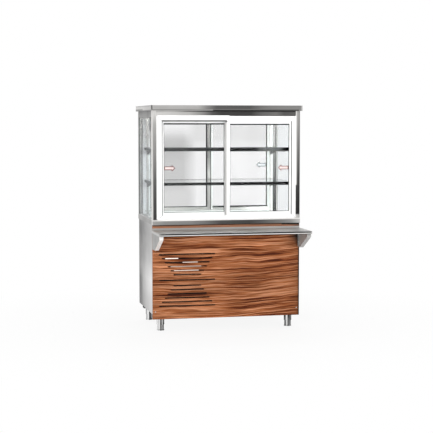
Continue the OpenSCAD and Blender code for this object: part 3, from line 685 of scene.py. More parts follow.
@dataclass(frozen=True)
class PolishedTube:
    """Polished round tube, with painted reflection: upright light and dark bands by the angle round it, as
    such a tube mirrors a pale room.
    """

    name: str
    bands: Stops
    end_tone: float = 0.45
    roughness: float = 0.16
    marked: float = 0.12
    marks_scale: float = 18.0
    marks_share: float = 0.3
    marks_tone: float = 0.5
    lines: Point = (40.0, 40.0, 1400.0)
    relief: float = 0.05
    relief_depth: float = 0.1 * MM

    def build(self) -> bpy.types.Material:
        """Builds the material.

        Returns:
            The material.
        """
        material, wiring, shader = plain_material(self.name)
        place = wiring.place()
        across, back, _ = wiring.parts(wiring.node("ShaderNodeTexCoord").outputs["Normal"])
        turn = wiring.math("ARCTAN2", across, wiring.math("MULTIPLY", back, -1.0))
        round_share = wiring.spread(turn, -math.pi, math.pi)
        stops = [((angle + 180.0) / 360.0, grey(tone)) for angle, tone in self.bands]
        ends = wiring.effect(facing()).outputs["Top"]
        colour = wiring.blend(ends, wiring.ramp(round_share, stops), grey(self.end_tone))
        marks = wiring.marks(place, self.marks_scale)
        colour = wiring.blend(wiring.math("MULTIPLY", marks, self.marks_share), colour, grey(self.marks_tone))
        rough = wiring.between(marks, self.roughness, self.roughness + self.marked)
        brushed = wiring.effect(brushed_grain(), Place=place, Lines=self.lines)
        normal = wiring.bump(brushed.outputs["Grain"], self.relief, self.relief_depth)
        wiring.coat(shader, colour, rough, normal)
        shader.inputs["Metallic"].default_value = 1.0
        return material


@dataclass(frozen=True)
class Wood:
    """Wood-grain laminate: long dark streaks on warm brown, waving a little and rising to the right."""

    name: str = "wood_laminate"
    pale: Colour = (0.52, 0.228, 0.117)
    warm: Colour = (0.315, 0.109, 0.04)
    brown: Colour = (0.205, 0.052, 0.014)
    dark: Colour = (0.065, 0.012, 0.003)
    rise: float = 0.05
    wave: Noise = Noise((2.4, 0.0, 4.0), 2.0)
    wave_height: float = 0.06
    drift: Noise = Noise((0.9, 0.0, 1.1), 1.0)
    drift_height: float = 0.1
    board: Noise = Noise((0.8, 0.0, 26.0), 2.0)
    board_share: float = 0.3
    streak: Noise = Noise((1.7, 0.0, 92.0), 3.0, 0.7)
    streak_share: float = 0.7
    level_reach: tuple[float, float] = (0.43, 0.57)
    level_stops: tuple[float, ...] = (0.0, 0.24, 0.46, 0.62, 0.92)
    fine: Noise = Noise((2.8, 0.0, 150.0), 2.0)
    fine_reach: tuple[float, float] = (0.36, 0.64)
    fine_tones: tuple[float, float] = (0.72, 1.28)
    fibre: Noise = Noise((9.0, 0.0, 420.0), 3.0, 0.6)
    fibre_reach: tuple[float, float] = (0.3, 0.7)
    fibre_tones: tuple[float, float] = (0.8, 1.18)
    # Painted shade and light: sweeps that scale the grain's tone, and patches laid over it.
    shade: tuple[Sweep, ...] = ()
    patches: tuple[Patch, ...] = ()
    edge_radius: float = 0.8 * MM
    marks_scale: float = 5.0
    roughness: float = 0.42
    marked: float = 0.13
    relief: float = 0.25
    relief_depth: float = 0.3 * MM
    gloss: float = 0.12

    def flow(self, wiring: Wiring, place: Socket) -> Socket:
        """Bends the grain: it waves, drifts, and rises to the right of the middle.

        Args:
            wiring: The material's wiring.
            place: The point of the surface.

        Returns:
            The point at which the grain is read.
        """
        across, _, up = wiring.parts(place)
        wave, drift = self.wave.read(wiring, place), self.drift.read(wiring, place)
        climb = wiring.math("MULTIPLY", wiring.math("MAXIMUM", across, 0.0), self.rise)
        lifted = wiring.math("SUBTRACT", up, climb)
        lifted = wiring.math("ADD", lifted, wiring.math("MULTIPLY", wave, self.wave_height))
        lifted = wiring.math("ADD", lifted, wiring.math("MULTIPLY", drift, self.drift_height))
        made = wiring.node("ShaderNodeCombineXYZ")
        wiring.feed(made.inputs[0], across)
        wiring.feed(made.inputs[2], lifted)
        return made.outputs[0]

    def build(self) -> bpy.types.Material:
        """Builds the material.

        Returns:
            The material.
        """
        material, wiring, shader = plain_material(self.name)
        place = wiring.place()
        flow = self.flow(wiring, place)
        board, streak, fine, fibre = (
            noise.read(wiring, flow) for noise in (self.board, self.streak, self.fine, self.fibre)
        )
        boards = wiring.math("MULTIPLY", board, self.board_share)
        level = wiring.math("ADD", boards, wiring.math("MULTIPLY", streak, self.streak_share))
        browns = (self.dark, self.brown, self.warm, self.warm, self.pale)
        stops = list(zip(self.level_stops, browns, strict=True))
        colour = wiring.ramp(wiring.spread(level, *self.level_reach), stops)
        fibres = wiring.spread(fibre, *self.fibre_reach, *self.fibre_tones)
        tone = wiring.math("MULTIPLY", fibres, wiring.spread(fine, *self.fine_reach, *self.fine_tones))
        for sweep in self.shade:
            shaded = wiring.node("ShaderNodeSeparateColor")
            wiring.feed(shaded.inputs[0], sweep.wire(wiring, place))
            tone = wiring.math("MULTIPLY", tone, shaded.outputs[0])
        side = wiring.effect(facing()).outputs["Side"]
        shown: Socket = wiring.blend(side, wiring.scaled(colour, tone), self.warm)
        for patch in self.patches:
            shown = patch.wire(wiring, place, shown)
        edge = wiring.effect(softened_edge(), Radius=self.edge_radius)
        shown = wiring.blend(edge.outputs["Edge"], shown, self.brown)
        marks = wiring.marks(place, self.marks_scale)
        rough = wiring.between(marks, self.roughness, self.roughness + self.marked)
        normal = wiring.bump(fibre, self.relief, self.relief_depth, edge.outputs["Normal"])
        wiring.coat(shader, shown, rough, normal)
        shader.inputs["Specular IOR Level"].default_value = self.gloss
        return material


@dataclass(frozen=True)
class Moulding:
    """Plastic, rubber or lacquer: one colour with faint mottling, marks and softened edges."""

    name: str
    colour: Colour
    roughness: float = 0.4
    mottle: float = 0.06
    pores: float = 900.0
    relief: float = 0.05
    relief_depth: float = 0.2 * MM
    marked: float = 0.12
    marks_scale: float = 9.0
    edge_radius: float = 1.0 * MM
    # Glow: emission; real light for the lamp diffuser, painted light for the other finishes that glow.
    glow: float = 0.0

    def build(self) -> bpy.types.Material:
        """Builds the material.

        Returns:
            The material.
        """
        material, wiring, shader = plain_material(self.name)
        if self.glow:
            shader.inputs["Emission Color"].default_value = (*self.colour, 1.0)
            shader.inputs["Emission Strength"].default_value = self.glow
        place = wiring.place()
        marks = wiring.marks(place, self.marks_scale)
        edge = wiring.effect(softened_edge(), Radius=self.edge_radius)
        mottled = wiring.scaled(self.colour, wiring.between(marks, 1.0, 1.0 - self.mottle))
        rough = wiring.between(marks, self.roughness, self.roughness + self.marked)
        pore = wiring.noise(place, self.pores, detail=2.0)
        normal = wiring.bump(pore, self.relief, self.relief_depth, edge.outputs["Normal"])
        wiring.coat(shader, mottled, rough, normal)
        return material


@dataclass(frozen=True)
class Glass:
    """Clear float glass, with the deep green that its thick edges show."""

    name: str
    tint: Colour
    edge: Colour = (0.05, 0.12, 0.11)
    flat_axis: Axis = Axis.Y
    bending: float = 1.13
    # Painted shade: grey patches in the panes' tint.
    painted_shade: tuple[Patch, ...] = ()
    marks_scale: float = 4.0
    marks_share: float = 0.5
    marks_tone: float = 0.97

    def build(self) -> bpy.types.Material:
        """Builds the material.

        Returns:
            The material.
        """
        material, wiring, shader = plain_material(self.name)
        flat = wiring.effect(facing()).outputs[self.flat_axis.facing]
        place = wiring.place()
        smear = wiring.math("MULTIPLY", wiring.marks(place, self.marks_scale), self.marks_share)
        tint = wiring.blend(smear, self.tint, tuple(self.marks_tone * part for part in self.tint))
        for patch in self.painted_shade:
            tint = patch.wire(wiring, place, tint)
        wiring.feed(shader.inputs["Base Color"], wiring.blend(flat, self.edge, tint))
        shader.inputs["Roughness"].default_value = 0.0
        shader.inputs["IOR"].default_value = self.bending
        shader.inputs["Transmission Weight"].default_value = 1.0
        self.pass_light(wiring, shader, flat)
        return material

    def pass_light(self, wiring: Wiring, shader: bpy.types.Node, flat: Socket) -> None:
        """Lets the light of lamps and walls straight through the pane's faces.

        Args:
            wiring: The material's wiring.
            shader: The glass shader.
            flat: 1 on the faces of the pane and 0 on its edges.
        """
        rays = wiring.node("ShaderNodeLightPath")
        light = wiring.math("MAXIMUM", rays.outputs["Is Shadow Ray"], rays.outputs["Is Diffuse Ray"])
        through = wiring.node("ShaderNodeBsdfTransparent")
        through.inputs[0].default_value = (*self.tint, 1.0)
        wiring.show(wiring.math("MULTIPLY", light, flat), shader, through)


@dataclass(frozen=True)
class Sticker:
    """Printed film: its ink with a little unevenness."""

    name: str
    ink: Colour
    # Glow: painted light that lifts a film lying in shade.
    glow: float = 0.0

    def build(self) -> bpy.types.Material:
        """Builds the material.

        Returns:
            The material.
        """
        return Moulding(
            self.name, self.ink, roughness=0.5, mottle=0.15, pores=1500.0, relief=0.02, glow=self.glow
        ).build()


def canopy_steels() -> list[Steel]:
    """Gives the steels of the canopy, the fascia and the side rails, with their painted reflection and shade.

    Returns:
        The finishes.
    """
    # Painted reflection along the canopy's front band: light at the left, dark in the middle, grey to the
    # right.
    band = Sweep(
        Axis.X,
        (
            (-0.6, 0.54), (-0.24, 0.5), (-0.17, 0.28), (-0.09, 0.125), (0.18, 0.118),
            (0.27, 0.2), (0.36, 0.26), (0.595, 0.28), (0.605, 0.6),
        ),
    )
    # Painted shade along the band's lower fold and below it, and the dark seam at the front left corner.
    shade_lines_and_seam = (
        Patch(((Axis.X, -0.7, -0.12), (Axis.Z, 1.745, 1.753)), 0.33, 1.0 * MM),
        Patch(((Axis.X, -0.12, 0.58), (Axis.Z, 1.7475, 1.7555)), 0.19, 1.0 * MM),
        Patch(((Axis.X, -0.12, 0.58), (Axis.Z, 1.7, 1.7465)), 0.01, 1.0 * MM),
        Patch(((Axis.X, -0.612, -0.602), (Axis.Z, 1.75, 1.79)), 0.03),
    )
    # Painted reflection and shade on the canopy's ends: dark at the bottom fold, light at mid height, lighter
    # towards the back, with a painted shade low at the rear.
    side_up = Sweep(
        Axis.Z,
        ((1.741, 0.12), (1.745, 0.2), (1.75, 0.6), (1.761, 0.66), (1.77, 0.66), (1.779, 0.5), (1.784, 0.28)),
    )
    side_back = Sweep(Axis.Y, ((-0.22, 0.75), (0.0, 0.85), (0.3, 1.0), (0.5, 1.0)))
    side_corner_shade = Patch(((Axis.Y, 0.2, 0.7), (Axis.Z, 1.7, 1.757)), 0.18, 6.0 * MM)
    # Painted reflection along the fascia: light at the left end, dark from the middle to the right.
    trim = Sweep(
        Axis.X,
        (
            (-0.56, 0.76), (-0.3, 0.56), (-0.2, 0.34), (-0.12, 0.12), (-0.05, 0.065),
            (0.2, 0.07), (0.28, 0.16), (0.4, 0.21), (0.47, 0.12), (0.56, 0.14),
        ),
    )
    # Painted shadow for the strip under the canopy: dark except towards the left end.
    joint = Sweep(Axis.X, ((-0.6, 0.6), (-0.42, 0.5), (-0.32, 0.12), (-0.2, 0.03), (0.6, 0.03)))
    # Painted shadow on the side rails: darker towards the top, under the canopy.
    rail = Sweep(
        Axis.Z, ((1.69, 0.24), (1.705, 0.18), (1.722, 0.13), (1.733, 0.1), (1.736, 0.03), (1.742, 0.03))
    )
    return [
        Steel(
            "canopy_steel",
            front=Face(1.0, (band,), shade_lines_and_seam),
            side=Face(1.0, (side_up, side_back), (side_corner_shade,)),
            top=Face(0.7),
        ),
        Steel("fascia_steel", front=Face(1.0, (trim,))),
        Steel("shadow_strip_steel", front=Face(1.0, (joint,)), side=Face(0.1)),
        Steel("rail_steel", front=Face(0.34), side=Face(1.0, (rail,)), lines=(900.0, 9.0, 900.0)),
    ]


def post_steels() -> list[Steel]:
    """Gives the steels of the four posts, with their painted reflection, shade and highlights.

    Returns:
        The finishes.
    """
    # Painted reflection and shade on the posts: dark low down, lighter towards the top.
    left = Sweep(
        Axis.Z,
        (
            (0.9, 0.075), (1.02, 0.085), (1.2, 0.15), (1.35, 0.27),
            (1.5, 0.36), (1.64, 0.5), (1.74, 0.85),
        ),
    )
    # Painted highlight along the left post's rounded front corner.
    left_corner_highlight = Patch(((Axis.X, -0.61, -0.5915),), 0.78)
    right = Sweep(
        Axis.Z,
        (
            (0.886, 0.6), (0.91, 0.5), (0.918, 0.032), (1.05, 0.045), (1.2, 0.08),
            (1.35, 0.155), (1.5, 0.26), (1.65, 0.38), (1.74, 0.42),
        ),
    )
    # Painted light on the right post: lighter along its inner edge and up its inner side, darker at its outer
    # edge.
    right_across = Sweep(Axis.X, ((0.565, 1.3), (0.58, 1.0), (0.592, 1.0), (0.6, 0.6)))
    right_inside_highlight = Patch(((Axis.X, 0.55, 0.5755), (Axis.Z, 1.15, 1.9)), 0.8, 4.0 * MM)
    rear = Sweep(Axis.Z, ((0.9, 0.05), (1.1, 0.09), (1.3, 0.16), (1.5, 0.23), (1.7, 0.26)))
    return [
        Steel("post_left_steel", front=Face(1.0, (left,), (left_corner_highlight,)), side=Face(0.8), lines=UPRIGHT),
        Steel("post_right_steel", front=Face(1.0, (right, right_across), (right_inside_highlight,)), lines=UPRIGHT),
        Steel("post_rear_steel", front=Face(1.0, (rear,)), side=Face(0.3), lines=UPRIGHT),
        Steel("post_back_steel", front=Face(0.46), side=Face(0.26), lines=UPRIGHT),
    ]


def fitting_steels() -> list[Steel]:
    """Gives the metals of the strips, spacers and shelf fittings.

    Returns:
        The finishes.
    """
    # Painted shade along the sill strips: grey on the left and in the middle, white on the right.
    sill = Sweep(
        Axis.X,
        (
            (-0.56, 0.66), (-0.3, 0.66), (-0.2, 0.56), (-0.1, 0.46), (0.1, 0.4),
            (0.2, 0.42), (0.27, 0.55), (0.33, 0.85), (0.38, 1.0), (0.56, 1.0),
        ),
    )
    # Painted shade on the meeting strip, darker towards the top.
    meeting = Sweep(Axis.Z, ((0.93, 0.36), (1.1, 0.38), (1.22, 0.4), (1.3, 0.26), (1.42, 0.22), (1.65, 0.17)))
    # Painted shade along the shelf edges, darker to the right, with shelf_gleam a painted highlight right of
    # the middle.
    shelf = Sweep(Axis.X, ((-0.55, 0.06), (0.0, 0.04), (0.1, 0.012), (0.5, 0.01), (0.55, 0.02)))
    shelf_gleam = Patch(((Axis.X, 0.27, 0.47), (Axis.Z, 1.4, 1.5)), 0.13, 25.0 * MM)
    return [
        Steel("sill_steel", front=Face(1.0, (sill,))),
        Steel("meeting_steel", front=Face(1.0, (meeting,)), side=Face(0.3), lines=UPRIGHT),
        Steel("grip_steel", front=Face(0.52), side=Face(0.35), lines=UPRIGHT, metal=0.7),
        Steel("spacer_bar", front=Face(0.5), side=Face(0.55), lines=UPRIGHT, metal=0.6),
        Steel("arm_steel", front=Face(0.1), side=Face(0.08), lines=UPRIGHT),
        Steel("trim_steel", front=Face(0.62), side=Face(0.6), lines=UPRIGHT),
        Steel(
            "edge_trim",
            front=Face(1.0, (shelf,), (shelf_gleam,)),
            side=Face(0.25),
            top=Face(0.1),
            tint=(0.95, 1.0, 0.985),
            roughness=0.6,
        ),
    ]


def serving_steels() -> list[Steel]:
    """Gives the steels of the worktop, the deck, the tray slide and its brackets.

    Returns:
        The finishes.
    """
    # Painted reflection along the worktop's front edge: light at both ends, dark in the middle.
    apron = Sweep(
        Axis.X,
        (
            (-0.6, 0.5), (-0.5, 0.36), (-0.3, 0.33), (-0.2, 0.25), (-0.05, 0.11),
            (0.18, 0.085), (0.3, 0.15), (0.42, 0.23), (0.52, 0.33), (0.6, 0.58),
        ),
    )
    # Painted highlight along the worktop's rounded top edge.
    worktop_edge_highlight = Patch(((Axis.Z, 0.877, 0.9),), 0.9, 1.0 * MM)
    # Painted reflection on the worktop's ends: light at the front, grey behind.
    worktop_side = Sweep(Axis.Y, ((-0.25, 0.75), (-0.19, 0.72), (-0.16, 0.32), (0.2, 0.27), (0.55, 0.36)))
    # Painted reflection along the slide's top, with painted shade towards its front edge.
    slide = Sweep(
        Axis.X,
        (
            (-0.6, 0.5), (-0.4, 0.36), (-0.2, 0.42), (0.0, 0.5), (0.12, 0.34),
            (0.25, 0.45), (0.38, 0.56), (0.52, 0.4), (0.6, 0.5),
        ),
    )
    slide_depth = Sweep(Axis.Y, ((-0.5585, 0.5), (-0.52, 0.72), (-0.44, 1.0), (-0.2, 1.0)))
    # Painted reflection on the slide's rounded lip: dark below, a bright line, then dark at its top.
    slide_lip = Sweep(
        Axis.Z,
        (
            (0.785, 0.02), (0.789, 0.02), (0.79, 0.9), (0.7945, 0.9),
            (0.7955, 0.02), (0.8045, 0.0), (0.806, 0.5),
        ),
    )
    # Painted light and shade on the brackets: the left one light on its face and dark on its side, the right
    # one grey.
    bracket = Sweep(Axis.X, ((-0.6, 0.85), (-0.5, 0.85), (0.5, 0.36), (0.6, 0.36)))
    bracket_side = Sweep(Axis.X, ((-0.6, 0.27), (-0.5, 0.2), (0.5, 0.52), (0.6, 0.52)))
    return [
        Steel(
            "worktop_steel",
            front=Face(1.0, (apron,), (worktop_edge_highlight,)),
            side=Face(1.0, (worktop_side,)),
            top=Face(0.92),
        ),
        Steel("deck_steel", top=Face(0.8), grain=0.05),
        Steel(
            "slide_steel",
            front=Face(1.0, (slide_lip,)),
            side=Face(0.5),
            top=Face(1.0, (slide, slide_depth)),
            metal=0.8,
        ),
        Steel(
            "bracket_steel",
            front=Face(1.0, (bracket,)),
            side=Face(1.0, (bracket_side,)),
            top=Face(1.0, (bracket,)),
            lines=(600.0, 600.0, 9.0),
            metal=0.0,
        ),
    ]


def cabinet_metals() -> list[Steel]:
    """Gives the metals of the cabinet and the machine in it.

    Returns:
        The finishes.
    """
    # Painted reflection and shade on the side panels: lighter at mid height and towards the front, darker
    # towards the back.
    panel_up = Sweep(
        Axis.Z,
        (
            (0.135, 0.62), (0.235, 0.66), (0.315, 0.78), (0.39, 0.83), (0.47, 0.73), (0.545, 0.6),
            (0.62, 0.53), (0.7, 0.48), (0.76, 0.42), (0.83, 0.44), (0.88, 0.6),
        ),
    )
    panel_back = Sweep(
        Axis.Y, ((-0.2, 1.0), (-0.06, 0.9), (0.13, 0.74), (0.2, 0.63), (0.3, 0.5), (0.38, 0.4), (0.5, 0.32))
    )
    # Painted shade low at the rear of the side panels.
    panel_corner_shade = Patch(((Axis.Y, 0.34, 0.6), (Axis.Z, 0.0, 0.42)), 0.14, 50.0 * MM, strength=0.9)
    # Painted light: patches that glow on the coil hood behind the upper vent slots; the hood's nearly black
    # front is painted shade.
    hood_glints = (
        Patch(((Axis.X, -0.49, -0.386), (Axis.Z, 0.564, 0.592)), 1.0, tint=(1.0, 0.93, 0.85)),
        Patch(((Axis.X, -0.35, -0.228), (Axis.Z, 0.532, 0.559)), 0.62, tint=(1.0, 0.85, 0.76)),
        Patch(((Axis.X, -0.447, -0.2), (Axis.Z, 0.502, 0.528)), 0.42, tint=(1.0, 0.8, 0.7)),
        Patch(((Axis.X, -0.42, -0.22), (Axis.Z, 0.471, 0.497)), 0.62, tint=(1.0, 0.86, 0.78)),
    )
    return [
        Steel(
            "panel_steel",
            side=Face(1.12, (panel_up, panel_back), (panel_corner_shade,)),
            tint=(1.0, 0.99, 0.985),
            lines=UPRIGHT,
            grain=0.08,
            roughness=0.42,
        ),
        Steel("screw_steel", front=Face(0.6), side=Face(0.5), lines=(300.0, 300.0, 300.0), roughness=0.25),
        Steel(
            "hood_sheet",
            front=Face(0.05),
            side=Face(0.4),
            top=Face(0.5),
            glints=hood_glints,
            lines=(60.0, 60.0, 60.0),
            grain=0.2,
            roughness=0.4,
        ),
        Steel("fin_aluminium", front=Face(0.5), side=Face(0.35), lines=(40.0, 400.0, 40.0), roughness=0.45),
        Steel(
            "copper",
            front=Face(0.8),
            side=Face(0.8),
            top=Face(0.8),
            tint=(0.86, 0.42, 0.27),
            lines=(80.0, 80.0, 80.0),
        ),
    ]


def leg_steels() -> list[PolishedTube]:
    """Gives the polished legs, with painted reflections: angle round the tube in degrees, from the front, and
    the tone there.

    Returns:
        The finishes.
    """
    return [
        PolishedTube(
            "leg_steel",
            (
                (-180.0, 0.7), (-140.0, 0.15), (-120.0, 0.9), (-100.0, 0.12), (-82.0, 0.3), (-66.0, 0.95),
                (-54.0, 0.9), (-46.0, 0.5), (-36.0, 0.75), (-22.0, 0.9), (-15.0, 0.1), (6.0, 0.08),
                (11.0, 0.6), (20.0, 0.7), (26.0, 0.02), (50.0, 0.02), (66.0, 0.75), (110.0, 0.9),
                (130.0, 0.2), (150.0, 0.8), (180.0, 0.7),
            ),
        ),
        PolishedTube(
            "leg_steel_shaded",
            (
                (-180.0, 0.4), (-120.0, 0.7), (-104.0, 0.12), (-50.0, 0.03), (-42.0, 0.6), (-22.0, 0.95),
                (-14.0, 0.06), (18.0, 0.04), (24.0, 0.25), (32.0, 0.2), (38.0, 0.03), (80.0, 0.06),
                (120.0, 0.8), (180.0, 0.4),
            ),
        ),
        PolishedTube(
            "leg_steel_rear",
            (
                (-180.0, 0.6), (-104.0, 0.7), (-52.0, 0.3), (-42.0, 0.9), (-20.0, 1.0), (-14.0, 0.05),
                (20.0, 0.02), (80.0, 0.4), (130.0, 0.8), (180.0, 0.6),
            ),
        ),
    ]


def front_woods() -> list[Wood]:
    """Gives the wood of the front panel, with painted shadows where the tray slide and the worktop shade it,
    and painted light on the strip between.

    Returns:
        The finish, in a list of one.
    """
    # Painted light and shade up the front: darker from 0.26 to 0.5 m, lighter just below the tray slide, dark
    # in the shadows of the slide and the worktop, and light on the strip between.
    below_top = Sweep(
        Axis.Z,
        (
            (0.1, 1.0), (0.26, 0.92), (0.3, 0.82), (0.42, 0.84), (0.5, 1.0), (0.64, 1.05),
            (0.69, 1.28), (0.72, 1.3), (0.748, 1.15), (0.765, 0.75), (0.778, 0.35), (0.819, 0.3),
            (0.8215, 1.35), (0.829, 1.0), (0.8365, 0.6), (0.8385, 0.15), (0.875, 0.1),
        ),
    )
    # Painted shade: darker towards the right edge.
    right_edge_shade = Sweep(Axis.X, ((0.5, 1.0), (0.57, 0.85), (0.588, 0.62), (0.5925, 0.08), (0.6, 0.05)))
    # Painted shade: nearly black in the right corner beside the tray bracket.
    corner = Patch(((Axis.X, 0.575, 0.7), (Axis.Z, 0.672, 0.83)), 0.015, 18.0 * MM)
    # Painted light: the strip between the slide's and the worktop's shadows is brought towards one lit tone.
    strip = Patch(((Axis.Z, 0.8, 0.8385),), 1.0, 3.0 * MM, (0.38, 0.2, 0.13), 0.55)
    # Painted shade: the strip goes black at its right end.
    strip_end = Patch(((Axis.X, 0.45, 0.7), (Axis.Z, 0.8335, 0.85)), 0.004, 2.0 * MM)
    # Painted shadow beside the right bracket.
    shadow = Patch(((Axis.X, 0.535, 0.7), (Axis.Z, 0.7, 0.835)), 0.02, 35.0 * MM, strength=0.85)
    return [Wood(shade=(below_top, right_edge_shade), patches=(corner, strip, strip_end, shadow))]


def mouldings() -> list[Moulding]:
    """Gives the lacquers, plastics and rubbers.

    Returns:
        The finishes.
    """
    return [
        Moulding("white_profile", (0.93, 0.93, 0.925), 0.3, 0.03),
        # The inner profile glows a little: painted light for the rear frame and rear doors, which lie in
        # shade inside the case.
        Moulding("inner_profile", (0.93, 0.93, 0.925), 0.35, 0.03, glow=0.2),
        Moulding("white_lacquer", (0.9, 0.9, 0.895), 0.42, 0.03),
        Moulding("lamp_diffuser", (0.93, 0.93, 0.92), 0.5, 0.02, glow=26.0),
        Moulding("insulated_wall", (0.62, 0.63, 0.64), 0.4, 0.08),
        Moulding("black_lacquer", (0.018, 0.018, 0.02), 0.35, 0.3, 500.0, 0.1),
        Moulding("black_plastic", (0.03, 0.03, 0.033), 0.5, 0.3, 700.0, 0.15),
        Moulding("roller_nylon", (0.16, 0.16, 0.165), 0.45, 0.15),
        Moulding("red_plastic", (0.55, 0.02, 0.015), 0.25, 0.1),
        Moulding("seal_rubber", (0.012, 0.012, 0.013), 0.8, 0.3, 1200.0, 0.3),
        Moulding("dark_slot_edge", (0.03, 0.011, 0.005), 0.75, 0.25, 900.0, 0.1),
        Moulding("brush_pile", (0.12, 0.12, 0.12), 0.9, 0.35, 2500.0, 0.8),
    ]


def glasses() -> list[Glass]:
    """Gives the panes and shelves, with the grey painted shade that the rear and left panes show.

    Returns:
        The finishes.
    """
    rear_painted_shade = (
        Patch(((Axis.X, -0.15, 0.9), (Axis.Z, 1.47, 1.9)), 0.79, 40.0 * MM),
        Patch(((Axis.X, -0.9, -0.165), (Axis.Z, 0.8, 1.55)), 0.62, 60.0 * MM),
        Patch(((Axis.X, -0.9, -0.19), (Axis.Z, 1.36, 1.5)), 0.57, 60.0 * MM),
        Patch(((Axis.X, -0.9, -0.16), (Axis.Z, 0.6, 1.1)), 0.72, 50.0 * MM),
    )
    left_painted_shade = (
        Patch(((Axis.Z, 1.46, 1.9),), 0.7, 80.0 * MM),
        Patch(((Axis.Y, -0.3, -0.06), (Axis.Z, 1.59, 1.9)), 0.36, 15.0 * MM),
    )
    return [
        Glass("door_glass", (0.965, 0.967, 0.968)),
        Glass("rear_glass", (0.925, 0.925, 0.93), painted_shade=rear_painted_shade),
        Glass("left_glass", (0.86, 0.87, 0.88), flat_axis=Axis.X, bending=1.02, painted_shade=left_painted_shade),
        Glass("right_glass", (0.955, 0.965, 0.97), flat_axis=Axis.X, bending=1.02),
        Glass("shelf_glass", (0.88, 0.96, 0.945), (0.45, 0.62, 0.6), flat_axis=Axis.Z, bending=1.25),
    ]


def stickers() -> list[Sticker]:
    """Gives the inks and films of the slide arrows.

    Returns:
        The finishes.
    """
    return [
        Sticker("red_ink", (0.13, 0.012, 0.01)),
        Sticker("pale_film", (0.86, 0.7, 0.68)),
        Sticker("grey_ink", (0.16, 0.17, 0.19)),
        # The grey film glows a little: painted light on the rear arrows, which face into the shaded case.
        Sticker("grey_film", (0.82, 0.83, 0.85), 0.45),
    ]


def finish_table() -> dict[str, bpy.types.Material]:
    """Builds every finish once.

    Returns:
        The materials by name.
    """
    tables = (
        canopy_steels, post_steels, fitting_steels, serving_steels, cabinet_metals,
        leg_steels, front_woods, mouldings, glasses, stickers,
    )
    return {finish.name: finish.build() for table in tables for finish in table()}


def add_box(mesh: bmesh.types.BMesh, low: Point, high: Point) -> None:
    """Adds a closed box to a mesh.

    Args:
        mesh: The mesh.
        low: The lowest corner.
        high: The highest corner.
    """
    across, back, up = zip(low, high, strict=True)
    corners = [mesh.verts.new((x, y, z)) for x in across for y in back for z in up]
    for face in ((0, 1, 3, 2), (4, 6, 7, 5), (0, 4, 5, 1), (2, 3, 7, 6), (0, 2, 6, 4), (1, 5, 7, 3)):
        mesh.faces.new([corners[index] for index in face])


def add_prism(mesh: bmesh.types.BMesh, outline: Outline, front: float, back: float) -> None:
    """Adds a closed plate with a given outline in X and Z.

    Args:
        mesh: The mesh.
        outline: The corners in order, as X and Z.
        front: The lower Y.
        back: The higher Y.
    """
    near = [mesh.verts.new((x, front, z)) for x, z in outline]
    far = [mesh.verts.new((x, back, z)) for x, z in outline]
    mesh.faces.new(near)
    mesh.faces.new(list(reversed(far)))
    for index in range(len(outline)):
        after = (index + 1) % len(outline)
        mesh.faces.new([near[after], near[index], far[index], far[after]])
    bmesh.ops.recalc_face_normals(mesh, faces=mesh.faces)


def add_ring(mesh: bmesh.types.BMesh, outer: Outline, inner: Outline, front: float, back: float) -> None:
    """Adds a closed plate between two outlines in X and Z with the same number of corners.

    Args:
        mesh: The mesh.
        outer: The outer corners in order, as X and Z.
        inner: The inner corners in the same order.
        front: The lower Y.
        back: The higher Y.
    """
    lines = ((outer, front), (inner, front), (inner, back), (outer, back))
    loops = [[mesh.verts.new((x, y, z)) for x, z in line] for line, y in lines]
    for index in range(len(outer)):
        after = (index + 1) % len(outer)
        for one, two in zip(loops, loops[1:] + loops[:1], strict=True):
            mesh.faces.new([one[index], one[after], two[after], two[index]])
    bmesh.ops.recalc_face_normals(mesh, faces=mesh.faces)


@dataclass(frozen=True)
class Margins:
    """Widths of a frame's four strips, in metres."""

    left: float
    right: float
    bottom: float
    top: float


def ring_boxes(mesh: bmesh.types.BMesh, low: Point, high: Point, widths: Margins) -> None:
    """Adds four strips that frame a rectangle in X and Z, butted at the corners.

    Args:
        mesh: The mesh.
        low: The lowest outer corner.
        high: The highest outer corner.
        widths: The width of each strip, measured inwards.
    """
    (x0, y0, z0), (x1, y1, z1) = low, high
    left, right = x0 + widths.left, x1 - widths.right
    add_box(mesh, (x0, y0, z0), (left, y1, z1))
    add_box(mesh, (right, y0, z0), (x1, y1, z1))
    add_box(mesh, (left, y0, z0), (right, y1, z0 + widths.bottom))
    add_box(mesh, (left, y0, z1 - widths.top), (right, y1, z1))


@dataclass
class Dresser:
    """Gives CAD nodes and new pieces their finishes."""

    nodes: dict[str, bpy.types.Object]
    finishes: dict[str, bpy.types.Material]

    def dress(self, finish: str, *names: str) -> None:
        """Gives CAD nodes a finish.

        Args:
            finish: The finish's name.
            names: The nodes.
        """
        for name in names:
            for slot in self.nodes[name].material_slots:
                slot.material = self.finishes[finish]
            LOG.info("dressed %s in %s", name, finish)

    def piece(self, name: str, mesh: bmesh.types.BMesh, finish: str, body: str, slot: str) -> None:
        """Makes a new piece that rides on a body.

        Args:
            name: The piece's name.
            mesh: Its mesh, which is freed here.
            finish: The finish's name.
            body: The CAD body that carries it.
            slot: Not used.
        """
        data = bpy.data.meshes.new(name)
        mesh.to_mesh(data)
        mesh.free()
        data.materials.append(self.finishes[finish])
        made = bpy.data.objects.new(name, data)
        bpy.context.scene.collection.objects.link(made)
        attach(made, body)
        LOG.info("made %s with %d faces, riding on %s", name, len(data.polygons), body)

    def bar(self, name: str, low: Point, high: Point, finish: str, body: str, slot: str) -> None:
        """Makes a new piece of one straight strip or sheet.

        Args:
            name: The piece's name.
            low: The lowest corner.
            high: The highest corner.
            finish: The finish's name.
            body: The CAD body that carries it.
            slot: The record's material slot.
        """
        mesh = bmesh.new()
        add_box(mesh, low, high)
        self.piece(name, mesh, finish, body, slot)


